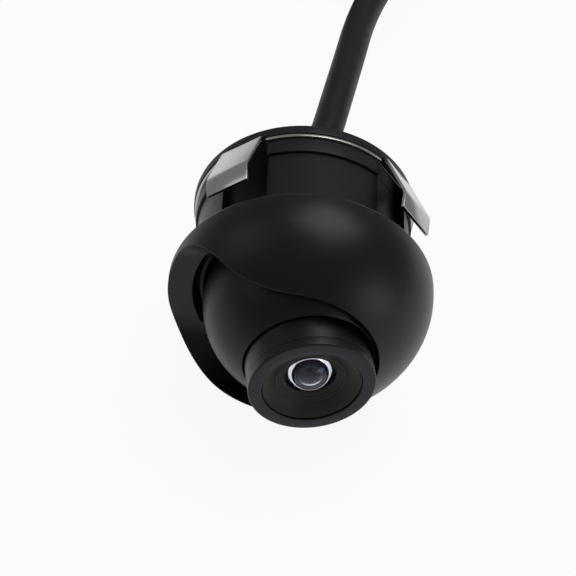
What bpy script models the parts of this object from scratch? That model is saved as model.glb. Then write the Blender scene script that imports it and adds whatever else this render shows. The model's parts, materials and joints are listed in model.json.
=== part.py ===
"""Clip-in reversing camera with a swivelling dome and a tilting lens ball.

The body axis lies along Y: the lens looks towards -Y and the cable leaves towards +Y.
Sizes are in millimetres, and each mesh is made in metres. Positions along the body axis are
counted from the dome's widest circle, backwards. Positions in the lens ball are counted from
the ball's centre, forwards along the lens.
"""
import math

import bmesh
import bpy
from mathutils import Matrix, Vector

MM = 0.001

# Clearances
FIT = 0.3  # between pieces that seat on each other
SLIP = 0.2  # around a turned piece inside another
RUN = 0.3  # around a piece that turns

# Lens ball
BALL_RADIUS = 10.2
BALL_WALL = 1.5
BALL_AHEAD = 1.5  # its centre, in front of the dome's widest circle
BALL_SPLIT = 2.0  # rear edge of the front shell, behind the centre
BALL_SEAL = 0.4
BOWL_RIM = 0.7
BOWL_INSET = 0.9  # the rear bowl's surface, inside the ball's
BOWL_WALL = 1.0
WIRE_PORT = 1.2
TILT_AT_REST = 8.1  # degrees
PIN_RADIUS = 1.2
PIN_REACH = 1.9  # into the dome

# Lens barrel and its ring
BARREL_RADIUS = 6.57
BARREL_WALL = 1.27
BARREL_STAND = 2.245  # out of the ball
BARREL_FLANGE = 0.38
FLANGE_DEPTH = 0.9
RING_WALL = 1.41
RING_DEPTH = 0.95
RING_CHAMFER = 0.25

# Lens
TUBE_WALL = 1.1
TUBE_INSET = 0.85  # behind the barrel's front
TUBE_REAR = 0.8
RETAINER_INSET = 0.2
DISH_STEPS = 4
STEP_RISE = 0.25
STEP_SLOPE = 0.1
LENS_SHOWN = 2.4
LENS_CROWN = 1.6
LENS_EDGE = 0.8
LENS_HOLLOW = 0.35
SPACER_WALL = 1.0
SPACER_DEPTH = 0.8
MIDDLE_EDGE = 1.0
STOP_HOLE = 0.8
STOP_DEPTH = 0.25
REAR_EDGE = 1.2
FILTER_DEPTH = 0.4
FILTER_STEP = 0.4

# Camera board: what is mounted on it is laid out as shares of the board's radius
BOARD_FRONT = -1.1
BOARD_DEPTH = 1.0
HOLDER_BASE = 1.2
HOLDER_WALL = 1.0
HOLDER_PORT = 4.6
SENSOR_SHARE = (0.78, 0.1, 0.68)
CHIP_SHARE = (0.74, 0.11, 0.54)
CHIP_AT = (0.0, -0.44)
CRYSTAL_SHARE = (0.4, 0.1, 0.24)
CRYSTAL_AT = (0.56, 0.12)
CAPACITOR_SHARE = (0.16, 0.32)
CAPACITOR_AT = (-0.56, 0.12)
SOCKET_SHARE = (0.62, 0.28, 0.36)
SOCKET_AT = (0.0, 0.32)
BOARD_SCREW = 0.55
BOARD_SCREW_HEAD = 1.1
BOARD_SCREW_RISE = 0.6
BOARD_SCREW_EDGE = 1.75  # from the board's edge
BOARD_SCREW_ANGLES = (45.0, 225.0)
WIRE_RADIUS = 0.6

# Dome
RIM_DEPTH = 1.33
RIM_ROUND = 0.6
SEAT_WIDTH = 1.03
SEAT_STEP = 0.3
SEAT_CLEAR = 0.3
DOME_LIP = 2.08  # thickness at the slot's edge
SLOT_SIDE = 2.605  # beside the barrel
SLOT_END = -0.95  # centre of the round end, sideways
SLOT_FLOOR = 0.1
SLOT_CORNER = 5.0
SLOT_RELIEF = (0.43, 0.05)  # around the ball, past the ring's socket and in front of the floor
RING_SOCKET = 0.95

# Swivel ring
SLEEVE_WALL = 0.45
LIP_REACH = 0.6
LIP_DEPTH = 0.5

# Neck and rear band
NECK_LENGTH = 7.97
NECK_LIP = 0.4
COLLAR_WALL = 0.45
COLLAR_BACK = 0.35
BORE_EASE = 0.1
BORE_TAPER = 1.3
FLAT_WALL = 1.15
FLAT_DEPTH = 1.37
BAND_DEPTH = 1.8
BAND_STEP = 0.28
SPIGOT_LENGTH = 1.4
SPIGOT_WALL = 0.8
WEB = 1.2
WIRE_HOLE = 3.2

# Spring clip
PLATE = 0.4
PLATE_EDGE = 0.25  # past the band
LEG_COUNT = 4
LEG_ANGLE = 38.5  # degrees, of the first
LEG_WIDTH = 5.0
LEG_SIDE = 0.25
LEG_ROOT = 0.45  # inside the plate's edge
LEG_SHOULDER = 0.5
LEG_ELBOW = (2.75, 6.0)  # out from the root, and forwards of it
LEG_TIP = (2.5, 8.2)
LEG_BEND = 0.5

# Rear cap
CAP = 1.2
CAP_EDGE = 0.1  # past the plate
CAP_ROUND = 0.5
CAP_SEAL_EDGE = 1.95
CAP_SEAL_WIDTH = 1.0
CAP_SEAL_DEPTH = 0.45
CAP_SCREW = 0.75
CAP_SCREW_HEAD = 1.5
CAP_SCREW_RISE = 0.5
CAP_SCREW_SINK = 0.7
CAP_SCREW_MARGIN = 0.4
CAP_SCREW_TIP = 0.4
CAP_SCREW_COUNT = 4
CAP_SCREW_ANGLE = 83.5

# Strain relief
BOOT_MARGIN = 0.65  # of the clip plate, between its middle hole and the screw holes
BOOT_CORE = 3.2
BOOT_RADIUS = 3.9
BOOT_LENGTH = 4.2
BOOT_TIP = 2.7
BOOT_RIBS = 2
BOOT_GROOVE = 0.45
BOOT_LEAN = 12.0  # degrees, to the side that the cable pulls it

# Cable: points are sideways and backwards from the boot's end, and a share of the drop to the hank's top
CABLE = 3.7
LEAD_ROUTE = (
    (0.0, 0.0, 0.0),
    (0.77, 3.62, 0.0),
    (1.73, 8.0, 0.025),
    (2.8, 14.0, 0.12),
    (4.15, 22.0, 0.39),
    (5.5, 30.0, 0.73),
    (7.4, 37.0, 0.93),
    (10.3, 44.0, 1.04),
    (13.1, 50.0, 1.05),
    (15.2, 55.0, 1.03),
    (16.4, 59.0, 1.01),
    (16.85, 62.5, 1.0),
    (16.9, 68.0, 1.0),
)
HANK_FOLD = 11.2  # radius of its tightest fold
HANK_RUN = 34.0  # straight length between the folds
HANK_PITCH = 4.15
HANK_LAYER = 4.15
HANK_LAYERS = 3
LAYER_TURNS = 1.5
LOOP_STEPS = 24
RUN_STEPS = 5
SINK_BEFORE = 8.0  # length in which the innermost loop starts to sink, before its fold
SINK_AFTER = 16.0
TAIL_LENGTH = 12.0
TAIL_STEPS = 8
TIE_WIDTH = 4.0
TIE_THICK = 0.5
TIE_GAP = 0.4
FLOOR_GAP = 0.05

# Connector
PLUG_RADIUS = 4.2
PLUG_NECK = 2.6
PLUG_TAPER = 4.0
PLUG_LENGTH = 11.0
PLUG_ROUND = 0.6
NOSE_RADIUS = 3.6
NOSE_WALL = 0.6
NOSE_LENGTH = 7.5
NOSE_SOCKET = 2.0
INSERT_DEPTH = 3.0
PIN_COUNT = 4
CONTACT_RADIUS = 0.4
CONTACT_CIRCLE = 1.5
CONTACT_BACK = 0.6
CONTACT_LENGTH = 6.0

# Facets
FINE_SIDES = 48
ROUND_SIDES = 40
SMALL_SIDES = 24
INNER_SIDES = 16
TINY_SIDES = 12

# Lens ball, derived
cavity = BALL_RADIUS + RUN
ball_in = BALL_RADIUS - BALL_WALL


def chord(radius, offset):
    """Radius of a sphere's section at an offset from its centre."""
    return math.sqrt(radius ** 2 - offset ** 2)


def swept(y):
    """Radius that the ball needs at a place along the body axis."""
    return chord(cavity, y + BALL_AHEAD)


# Lens barrel and lens, derived
barrel_in = BARREL_RADIUS - BARREL_WALL
barrel_port = BARREL_RADIUS + SLIP
barrel_front = chord(BALL_RADIUS, BARREL_RADIUS) + BARREL_STAND
flange_radius = BARREL_RADIUS + BARREL_FLANGE
flange_front = chord(ball_in, flange_radius) - FIT
flange_rear = flange_front - FLANGE_DEPTH
ring_rear = barrel_front + SLIP
ring_front = ring_rear + RING_DEPTH
ring_in = BARREL_RADIUS - RING_WALL
tube_radius = barrel_in - FIT
tube_bore = tube_radius - TUBE_WALL
tube_front = barrel_front - TUBE_INSET
lens_radius = tube_bore - SLIP
retainer_radius = ring_in - SLIP
retainer_front = ring_front - RETAINER_INSET
retainer_rear = tube_front + SLIP
retainer_in = LENS_SHOWN + SLIP

# Camera board, derived
board_rear = BOARD_FRONT - BOARD_DEPTH
board_radius = chord(ball_in, board_rear) - FIT
screw_circle = board_radius - BOARD_SCREW_EDGE
sensor_size = [share * board_radius for share in SENSOR_SHARE]
chip_size = [share * board_radius for share in CHIP_SHARE]
chip_place = [share * board_radius for share in CHIP_AT]
crystal_size = [share * board_radius for share in CRYSTAL_SHARE]
crystal_place = [share * board_radius for share in CRYSTAL_AT]
capacitor_radius, capacitor_depth = [share * board_radius for share in CAPACITOR_SHARE]
capacitor_place = [share * board_radius for share in CAPACITOR_AT]
socket_size = [share * board_radius for share in SOCKET_SHARE]
socket_place = [share * board_radius for share in SOCKET_AT]
holder_rear = BOARD_FRONT + SLIP
holder_step = holder_rear + HOLDER_BASE
holder_front = flange_rear - FIT
holder_bore = tube_radius + SLIP

# Dome, swivel ring and neck, derived
socket_floor = RIM_DEPTH - RING_SOCKET
sleeve_front = socket_floor + FIT
sleeve_in = swept(sleeve_front)
sleeve_out = sleeve_in + SLEEVE_WALL
socket_radius = sleeve_out + FIT
neck_front = RIM_DEPTH + FIT
neck_mouth = sleeve_out + RUN
lip_front = neck_front + NECK_LIP + SLIP
lip_rear = lip_front + LIP_DEPTH
lip_radius = sleeve_out + LIP_REACH
groove_rear = lip_rear + SLIP
groove_radius = lip_radius + RUN
collar_radius = groove_radius + COLLAR_WALL
collar_rear = groove_rear + COLLAR_BACK
seat_in = collar_radius + SEAT_CLEAR
seat_out = seat_in + SEAT_WIDTH
dome_radius = seat_out + RIM_ROUND
slot_half = BARREL_RADIUS + SLOT_SIDE
dome_front = (BALL_AHEAD + chord(cavity, slot_half) + DOME_LIP) / chord(1.0, slot_half / dome_radius)
pin_tip = cavity + PIN_REACH
bore_rear = groove_rear + BORE_TAPER
bore = swept(bore_rear) + BORE_EASE
flat_height = bore + FLAT_WALL
neck_radius = flat_height + FLAT_DEPTH
neck_rear = neck_front + NECK_LENGTH

# Rear band, clip, cap and boot, derived
band_front = neck_rear + SLIP
band_rear = band_front + BAND_DEPTH
band_radius = neck_radius + BAND_STEP
spigot_radius = bore - SLIP
spigot_front = band_front - SPIGOT_LENGTH
web_front = band_rear - WEB
plate_front = band_rear + SLIP
plate_rear = plate_front + PLATE
plate_radius = band_radius + PLATE_EDGE
leg_root = plate_radius - LEG_ROOT
leg_half = LEG_WIDTH / 2
cap_front = plate_rear + SLIP
cap_rear = cap_front + CAP
cap_radius = plate_radius + CAP_EDGE
seal_out = cap_radius - CAP_SEAL_EDGE
seal_in = seal_out - CAP_SEAL_WIDTH
cap_screw_circle = seal_in - SLIP - CAP_SCREW_HEAD - SLIP - CAP_SCREW_MARGIN
plate_hole = cap_screw_circle - CAP_SCREW - SLIP - BOOT_MARGIN
boot_flange = plate_hole - SLIP
boot_front = cap_rear + SLIP
boot_rear = boot_front + BOOT_LENGTH
boot_lean = math.radians(BOOT_LEAN)
hank_out = HANK_FOLD + HANK_PITCH * LAYER_TURNS


def boot_line(y):
    """Place and direction of the boot's middle line, which bends evenly to the side."""
    share = max(0.0, y - boot_front) / BOOT_LENGTH
    angle = boot_lean * share
    bend = BOOT_LENGTH / boot_lean
    place = Vector((bend * (1 - math.cos(angle)), min(y, boot_front) + bend * math.sin(angle), 0.0))
    return place, angle


def clear_scene():
    """Remove whatever the scene holds."""
    for obj in list(bpy.data.objects):
        bpy.data.objects.remove(obj, do_unlink=True)


def plain(name, colour, roughness, metallic=0.0):
    """Principled material of one colour."""
    material = bpy.data.materials.new(name)
    material.use_nodes = True
    shader = material.node_tree.nodes["Principled BSDF"]
    shader.inputs["Base Color"].default_value = (*colour, 1.0)
    shader.inputs["Roughness"].default_value = roughness
    shader.inputs["Metallic"].default_value = metallic
    return material


def guide(name, place, parent=None, rotation=(0.0, 0.0, 0.0)):
    """Empty that carries pieces; its place is in millimetres."""
    obj = bpy.data.objects.new(name, None)
    obj.location = Vector(place) * MM
    obj.rotation_euler = rotation
    obj.parent = parent
    bpy.context.scene.collection.objects.link(obj)
    return obj


def piece(name, bm, parent, material=None):
    """Object from a bmesh in millimetres."""
    bmesh.ops.scale(bm, vec=(MM, MM, MM), verts=bm.verts)
    bmesh.ops.recalc_face_normals(bm, faces=bm.faces)
    mesh = bpy.data.meshes.new(name)
    bm.to_mesh(mesh)
    bm.free()
    obj = bpy.data.objects.new(name, mesh)
    obj.parent = parent
    bpy.context.scene.collection.objects.link(obj)
    if material is None:
        obj.hide_render = True
        obj.display_type = "WIRE"
    else:
        mesh.materials.append(material)
        mesh.shade_smooth()
        mesh.set_sharp_from_angle(angle=math.radians(35))
    return obj


def spun(outline, sides):
    """Bmesh turned about Y from (radius, y) points; an outline that meets the axis stays open there."""
    bm = bmesh.new()
    verts = [bm.verts.new((radius, y, 0.0)) for radius, y in outline]
    edges = [bm.edges.new(pair) for pair in zip(verts, verts[1:])]
    if outline[0][0] > 0.0:
        edges.append(bm.edges.new((verts[-1], verts[0])))
    bmesh.ops.spin(
        bm, geom=verts + edges, cent=(0, 0, 0), axis=(0, 1, 0), angle=math.tau, steps=sides, use_merge=True
    )
    bmesh.ops.remove_doubles(bm, verts=bm.verts, dist=1e-4)
    return bm


def turned(name, outline, parent, material, sides=ROUND_SIDES):
    """Turned piece on its parent's Y axis."""
    return piece(name, spun(outline, sides), parent, material)


def lens_turned(name, outline, parent, material, sides=INNER_SIDES):
    """Turned piece of the lens ball, from (radius, distance in front of the ball's centre) points."""
    return turned(name, [(radius, -front) for radius, front in outline], parent, material, sides)


def block(size, centre):
    """Bmesh box."""
    bm = bmesh.new()
    bmesh.ops.create_cube(bm, size=1.0)
    bmesh.ops.scale(bm, vec=size, verts=bm.verts)
    bmesh.ops.translate(bm, vec=centre, verts=bm.verts)
    return bm


def rod(radius, start, end, sides=INNER_SIDES):
    """Bmesh cylinder on the Y axis."""
    return spun([(0.0, start), (radius, start), (radius, end), (0.0, end)], sides)


def merged(shapes):
    """One bmesh from (bmesh, matrix) pairs."""
    bm = bmesh.new()
    for shape, matrix in shapes:
        bmesh.ops.transform(shape, matrix=matrix, verts=shape.verts)
        bmesh.ops.recalc_face_normals(shape, faces=shape.faces)
        mesh = bpy.data.meshes.new("part")
        shape.to_mesh(mesh)
        shape.free()
        bm.from_mesh(mesh)
        bpy.data.meshes.remove(mesh)
    return bm


def cut(target, cutter):
    """Take the cutter's shape out of the target."""
    modifier = target.modifiers.new(cutter.name, "BOOLEAN")
    modifier.operation = "DIFFERENCE"
    modifier.solver = "EXACT"
    modifier.object = cutter


def around(angle):
    """Matrix that turns +X to an angle in degrees about the body axis, counted from +X towards +Z."""
    return Matrix.Rotation(-math.radians(angle), 4, "Y")


def arc(centre, radii, start, end, steps):
    """Points of an ellipse's arc, with angles in degrees."""
    angles = [math.radians(start + (end - start) * i / steps) for i in range(steps + 1)]
    return [(centre[0] + radii[0] * math.cos(a), centre[1] + radii[1] * math.sin(a)) for a in angles]


def smooth_route(points, spacing):
    """Evenly spaced points on a smooth curve through the route's points."""
    points = [Vector(p) for p in points]
    padded = [2 * points[0] - points[1], *points, 2 * points[-1] - points[-2]]
    fine = []
    for a, b, c, d in zip(padded, padded[1:], padded[2:], padded[3:]):
        for i in range(16):
            t = i / 16
            fine.append(
                0.5 * (2 * b + (c - a) * t + (2 * a - 5 * b + 4 * c - d) * t ** 2
                       + (3 * b - a - 3 * c + d) * t ** 3)
            )
    fine.append(points[-1])
    lengths = [0.0]
    for a, b in zip(fine, fine[1:]):
        lengths.append(lengths[-1] + (b - a).length)
    count = max(3, round(lengths[-1] / spacing))
    even = [fine[0]]
    j = 0
    for i in range(1, count):
        goal = lengths[-1] * i / count
        while lengths[j + 1] < goal:
            j += 1
        even.append(fine[j].lerp(fine[j + 1], (goal - lengths[j]) / (lengths[j + 1] - lengths[j])))
    return even + [fine[-1]]


def tube(name, points, radius, parent, material, resolution):
    """Round tube with closed ends along a list of points."""
    curve = bpy.data.curves.new(name, "CURVE")
    curve.dimensions = "3D"
    curve.bevel_depth = radius * MM
    curve.bevel_resolution = resolution
    curve.use_fill_caps = True
    spline = curve.splines.new("POLY")
    spline.points.add(len(points) - 1)
    for target, point in zip(spline.points, points):
        target.co = (*(Vector(point) * MM), 1.0)
    curve.materials.append(material)
    obj = bpy.data.objects.new(name, curve)
    obj.parent = parent
    bpy.context.scene.collection.objects.link(obj)
    return obj


def route_length(points):
    """Length of a list of points."""
    return sum((Vector(b) - Vector(a)).length for a, b in zip(points, points[1:]))


def ring_outline():
    """Bezel ring at the barrel's front."""
    return [
        (ring_in, ring_rear),
        (BARREL_RADIUS, ring_rear),
        (BARREL_RADIUS, ring_front - RING_CHAMFER),
        (BARREL_RADIUS - RING_CHAMFER, ring_front),
        (ring_in + RING_CHAMFER / 2, ring_front),
        (ring_in, ring_front - RING_CHAMFER / 2),
    ]


def make_dome(parent, looks):
    """Dome with its slot, and the ring that snaps it into the neck."""
    mouth = slot_half - RIM_ROUND - BALL_WALL / 2
    outer_start = 90 + math.degrees(math.asin(mouth / dome_radius))
    ledge = -SLOT_FLOOR - SLOT_RELIEF[1]
    inner_start = math.degrees(math.asin((ledge + BALL_AHEAD) / cavity))
    inner_end = -math.degrees(math.acos(mouth / cavity))
    outside = [(-r, -y) for r, y in arc((0, 0), (dome_radius, dome_front), outer_start, 180, 9)]
    rim = arc((seat_out, RIM_DEPTH - RIM_ROUND), (RIM_ROUND, RIM_ROUND), 0, 90, 2)
    seat = [
        (seat_in, RIM_DEPTH),
        (seat_in, RIM_DEPTH - SEAT_STEP),
        (socket_radius, RIM_DEPTH - SEAT_STEP),
        (socket_radius, socket_floor),
        (socket_radius + SLOT_RELIEF[0], ledge),
    ]
    inside = arc((0, -BALL_AHEAD), (cavity, cavity), inner_start, inner_end, 5)
    dome = turned("dome_housing", outside + rim + seat + inside, parent, looks["dome"], FINE_SIDES)

    far = dome_radius + SLOT_CORNER + FIT
    plan = [(SLOT_END + x, z) for x, z in arc((0, 0), (slot_half, slot_half), -90, 90, 18)]
    plan += [(-far, slot_half), (-far, -slot_half)]
    bm = bmesh.new()
    floor = bm.faces.new([bm.verts.new((x, -SLOT_FLOOR, z)) for x, z in plan])
    walls = bmesh.ops.extrude_face_region(bm, geom=[floor])["geom"]
    bmesh.ops.translate(
        bm, vec=(0, -2 * dome_front, 0), verts=[v for v in walls if isinstance(v, bmesh.types.BMVert)]
    )
    low = [e for e in bm.edges if all(abs(v.co.y + SLOT_FLOOR) < 1e-6 for v in e.verts)]
    bmesh.ops.bevel(bm, geom=low, offset=SLOT_CORNER, segments=5, profile=0.5, affect="EDGES")
    cut(dome, piece("slot_cutter", bm, parent))

    pocket = rod(PIN_RADIUS + RUN, -(pin_tip + FIT), pin_tip + FIT)
    upright = Matrix.Translation((0, -BALL_AHEAD, 0)) @ Matrix.Rotation(math.pi / 2, 4, "X")
    cut(dome, piece("pivot_cutter", merged([(pocket, upright)]), parent))

    turned(
        "swivel_ring",
        [
            (sleeve_in, sleeve_front),
            (sleeve_out, sleeve_front),
            (sleeve_out, lip_front),
            (lip_radius, lip_front),
            (lip_radius, lip_rear),
            (sleeve_in, lip_rear),
        ],
        parent,
        looks["ring"],
    )


def make_ball(parent, looks):
    """Shells, seal and trunnions of the lens ball."""
    front_start = -math.degrees(math.acos(barrel_port / BALL_RADIUS))
    rear_outer = math.degrees(math.asin(BALL_SPLIT / BALL_RADIUS))
    rear_inner = math.degrees(math.asin(BALL_SPLIT / ball_in))
    front_inner = -math.degrees(math.acos(barrel_port / ball_in))
    outside = arc((0, 0), (BALL_RADIUS, BALL_RADIUS), front_start, rear_outer, 7)
    inside = arc((0, 0), (ball_in, ball_in), rear_inner, front_inner, 4)
    shell = turned("ball_front", outside + inside, parent, looks["ball"])
    hole = rod(PIN_RADIUS + SLIP, -cavity, cavity)
    upright = Matrix.Rotation(math.pi / 2, 4, "X")
    cut(shell, piece("trunnion_cutter", merged([(hole, upright)]), parent))
    for name, turn in (("pivot_pin_upper", math.pi / 2), ("pivot_pin_lower", -math.pi / 2)):
        pin = rod(PIN_RADIUS, ball_in + SLIP, pin_tip)
        piece(name, merged([(pin, Matrix.Rotation(turn, 4, "X"))]), parent, looks["pin"])

    seal_front = BALL_SPLIT + SLIP
    seal_rear = seal_front + BALL_SEAL
    rim_front = seal_rear + SLIP
    rim_rear = rim_front + BOWL_RIM
    rim_radius = chord(BALL_RADIUS, rim_rear)
    turned(
        "ball_seal",
        [
            (ball_in, seal_front),
            (rim_radius, seal_front),
            (rim_radius, seal_rear),
            (ball_in, seal_rear),
        ],
        parent,
        looks["rubber"],
        SMALL_SIDES,
    )
    bowl = BALL_RADIUS - BOWL_INSET
    bowl_in = bowl - BOWL_WALL
    start = math.degrees(math.asin(rim_rear / bowl))
    end = math.degrees(math.acos(WIRE_PORT / bowl))
    inner_end = math.degrees(math.acos(WIRE_PORT / bowl_in))
    inner_start = math.degrees(math.asin(rim_front / bowl_in))
    outside = [(rim_radius, rim_front), (rim_radius, rim_rear)]
    outside += arc((0, 0), (bowl, bowl), start, end, 5)
    inside = arc((0, 0), (bowl_in, bowl_in), inner_end, inner_start, 4)
    turned("ball_rear", outside + inside, parent, looks["ball"], SMALL_SIDES)


def make_lens(parent, looks):
    """Barrel, bezel ring, and the lens inside them."""
    lens_turned(
        "lens_barrel",
        [
            (barrel_in, flange_rear),
            (flange_radius, flange_rear),
            (flange_radius, flange_front),
            (BARREL_RADIUS, flange_front),
            (BARREL_RADIUS, barrel_front),
            (barrel_in, barrel_front),
        ],
        parent,
        looks["barrel"],
        ROUND_SIDES,
    )
    lens_turned("lens_ring", ring_outline(), parent, looks["barrel"], ROUND_SIDES)

    dish = [(retainer_radius, retainer_rear), (retainer_radius, retainer_front)]
    tread = (retainer_radius - retainer_in) / (DISH_STEPS + 1)
    for i in range(DISH_STEPS):
        radius = retainer_radius - tread * (i + 1)
        height = retainer_front - STEP_RISE * i
        dish += [(radius + STEP_SLOPE, height), (radius, height - STEP_RISE)]
    dish += [(retainer_in, retainer_front - STEP_RISE * DISH_STEPS), (retainer_in, retainer_rear)]
    lens_turned("lens_retainer", dish, parent, looks["retainer"], SMALL_SIDES)

    edge_rear = tube_front - LENS_EDGE
    lens_turned(
        "front_element",
        [
            (0.0, edge_rear + LENS_HOLLOW),
            (lens_radius * 0.4, edge_rear + LENS_HOLLOW * 0.8),
            (lens_radius * 0.75, edge_rear),
            (lens_radius, edge_rear),
            (lens_radius, tube_front),
            *arc((0, tube_front), (LENS_SHOWN, LENS_CROWN), 0, 90, 6)[:-1],
            (0.0, tube_front + LENS_CROWN),
        ],
        parent,
        looks["glass"],
        SMALL_SIDES,
    )
    lens_turned(
        "lens_tube",
        [
            (tube_bore, TUBE_REAR),
            (tube_radius, TUBE_REAR),
            (tube_radius, tube_front),
            (tube_bore, tube_front),
        ],
        parent,
        looks["tube"],
    )
    spacer_front = edge_rear - SLIP
    spacer_rear = spacer_front - SPACER_DEPTH
    lens_turned(
        "spacer_ring",
        [
            (lens_radius - SPACER_WALL, spacer_rear),
            (lens_radius, spacer_rear),
            (lens_radius, spacer_front),
            (lens_radius - SPACER_WALL, spacer_front),
        ],
        parent,
        looks["tube"],
    )
    middle_front = spacer_rear - SLIP
    middle_rear = middle_front - MIDDLE_EDGE
    lens_turned(
        "middle_element",
        [
            (0.0, middle_rear + MIDDLE_EDGE * 0.3),
            (lens_radius * 0.6, middle_rear),
            (lens_radius, middle_rear),
            (lens_radius, middle_front),
            (lens_radius * 0.6, middle_front),
            (0.0, middle_front - MIDDLE_EDGE * 0.3),
        ],
        parent,
        looks["glass"],
    )
    stop_front = middle_rear - SLIP
    stop_rear = stop_front - STOP_DEPTH
    lens_turned(
        "aperture_stop",
        [
            (STOP_HOLE, stop_rear),
            (lens_radius, stop_rear),
            (lens_radius, stop_front),
            (STOP_HOLE, stop_front),
        ],
        parent,
        looks["tube"],
    )
    rear_front = stop_rear - SLIP
    rear_rear = rear_front - REAR_EDGE
    lens_turned(
        "rear_element",
        [
            (0.0, rear_rear),
            (lens_radius * 0.6, rear_rear + REAR_EDGE * 0.2),
            (lens_radius, rear_rear + REAR_EDGE * 0.4),
            (lens_radius, rear_front),
            (0.0, rear_front),
        ],
        parent,
        looks["glass"],
    )
    filter_rear = TUBE_REAR + FILTER_STEP
    lens_turned(
        "ir_filter",
        [
            (0.0, filter_rear),
            (lens_radius, filter_rear),
            (lens_radius, filter_rear + FILTER_DEPTH),
            (0.0, filter_rear + FILTER_DEPTH),
        ],
        parent,
        looks["filter"],
    )


def make_board(parent, looks):
    """Camera board with what is mounted on it."""
    places = [
        Matrix.Translation((screw_circle * math.cos(math.radians(a)), 0, screw_circle * math.sin(math.radians(a))))
        for a in BOARD_SCREW_ANGLES
    ]
    holes = [(rod(BOARD_SCREW + SLIP, -holder_step - FIT, ball_in, TINY_SIDES), place) for place in places]
    drill = piece("board_cutter", merged(holes), parent)
    holder = lens_turned(
        "lens_holder",
        [
            (HOLDER_PORT, holder_rear),
            (board_radius, holder_rear),
            (board_radius, holder_step),
            (holder_bore + HOLDER_WALL, holder_step),
            (holder_bore + HOLDER_WALL, holder_front),
            (holder_bore, holder_front),
            (holder_bore, holder_step),
            (HOLDER_PORT, holder_step),
        ],
        parent,
        looks["tube"],
    )
    cut(holder, drill)
    board = lens_turned(
        "sensor_board",
        [
            (0.0, board_rear),
            (board_radius, board_rear),
            (board_radius, BOARD_FRONT),
            (0.0, BOARD_FRONT),
        ],
        parent,
        looks["board"],
    )
    cut(board, drill)
    sensor_y = -(BOARD_FRONT + SLIP + sensor_size[1] / 2)
    piece("image_sensor", block(sensor_size, (0, sensor_y, 0)), parent, looks["chip"])

    behind = -board_rear + SLIP
    for name, size, place, look in (
        ("video_chip", chip_size, chip_place, "chip"),
        ("crystal", crystal_size, crystal_place, "pin"),
        ("wire_socket", socket_size, socket_place, "socket"),
    ):
        piece(name, block(size, (place[0], behind + size[1] / 2, place[1])), parent, looks[look])
    can = rod(capacitor_radius, behind, behind + capacitor_depth, TINY_SIDES)
    place = Matrix.Translation((capacitor_place[0], 0, capacitor_place[1]))
    piece("filter_capacitor", merged([(can, place)]), parent, looks["pin"])

    for i, place in enumerate(places):
        screw = spun(
            [
                (0.0, -holder_step + SLIP),
                (BOARD_SCREW, -holder_step + SLIP),
                (BOARD_SCREW, behind),
                (BOARD_SCREW_HEAD, behind),
                (BOARD_SCREW_HEAD, behind + BOARD_SCREW_RISE),
                (0.0, behind + BOARD_SCREW_RISE),
            ],
            TINY_SIDES,
        )
        piece(f"board_screw_{i + 1}", merged([(screw, place)]), parent, looks["screw"])

    start = behind + socket_size[1] + FIT
    end = BALL_RADIUS - BOWL_INSET + SLIP
    x, z = socket_place
    route = [
        (x, start, z),
        (x, start + 0.25 * (end - start), z * 0.9),
        (x * 0.4, start + 0.55 * (end - start), z * 0.3),
        (0.0, start + 0.75 * (end - start), 0.0),
        (0.0, end, 0.0),
    ]
    tube("wire_tail", smooth_route(route, 2 * WIRE_RADIUS), WIRE_RADIUS, parent, looks["wire"], 1)


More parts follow.
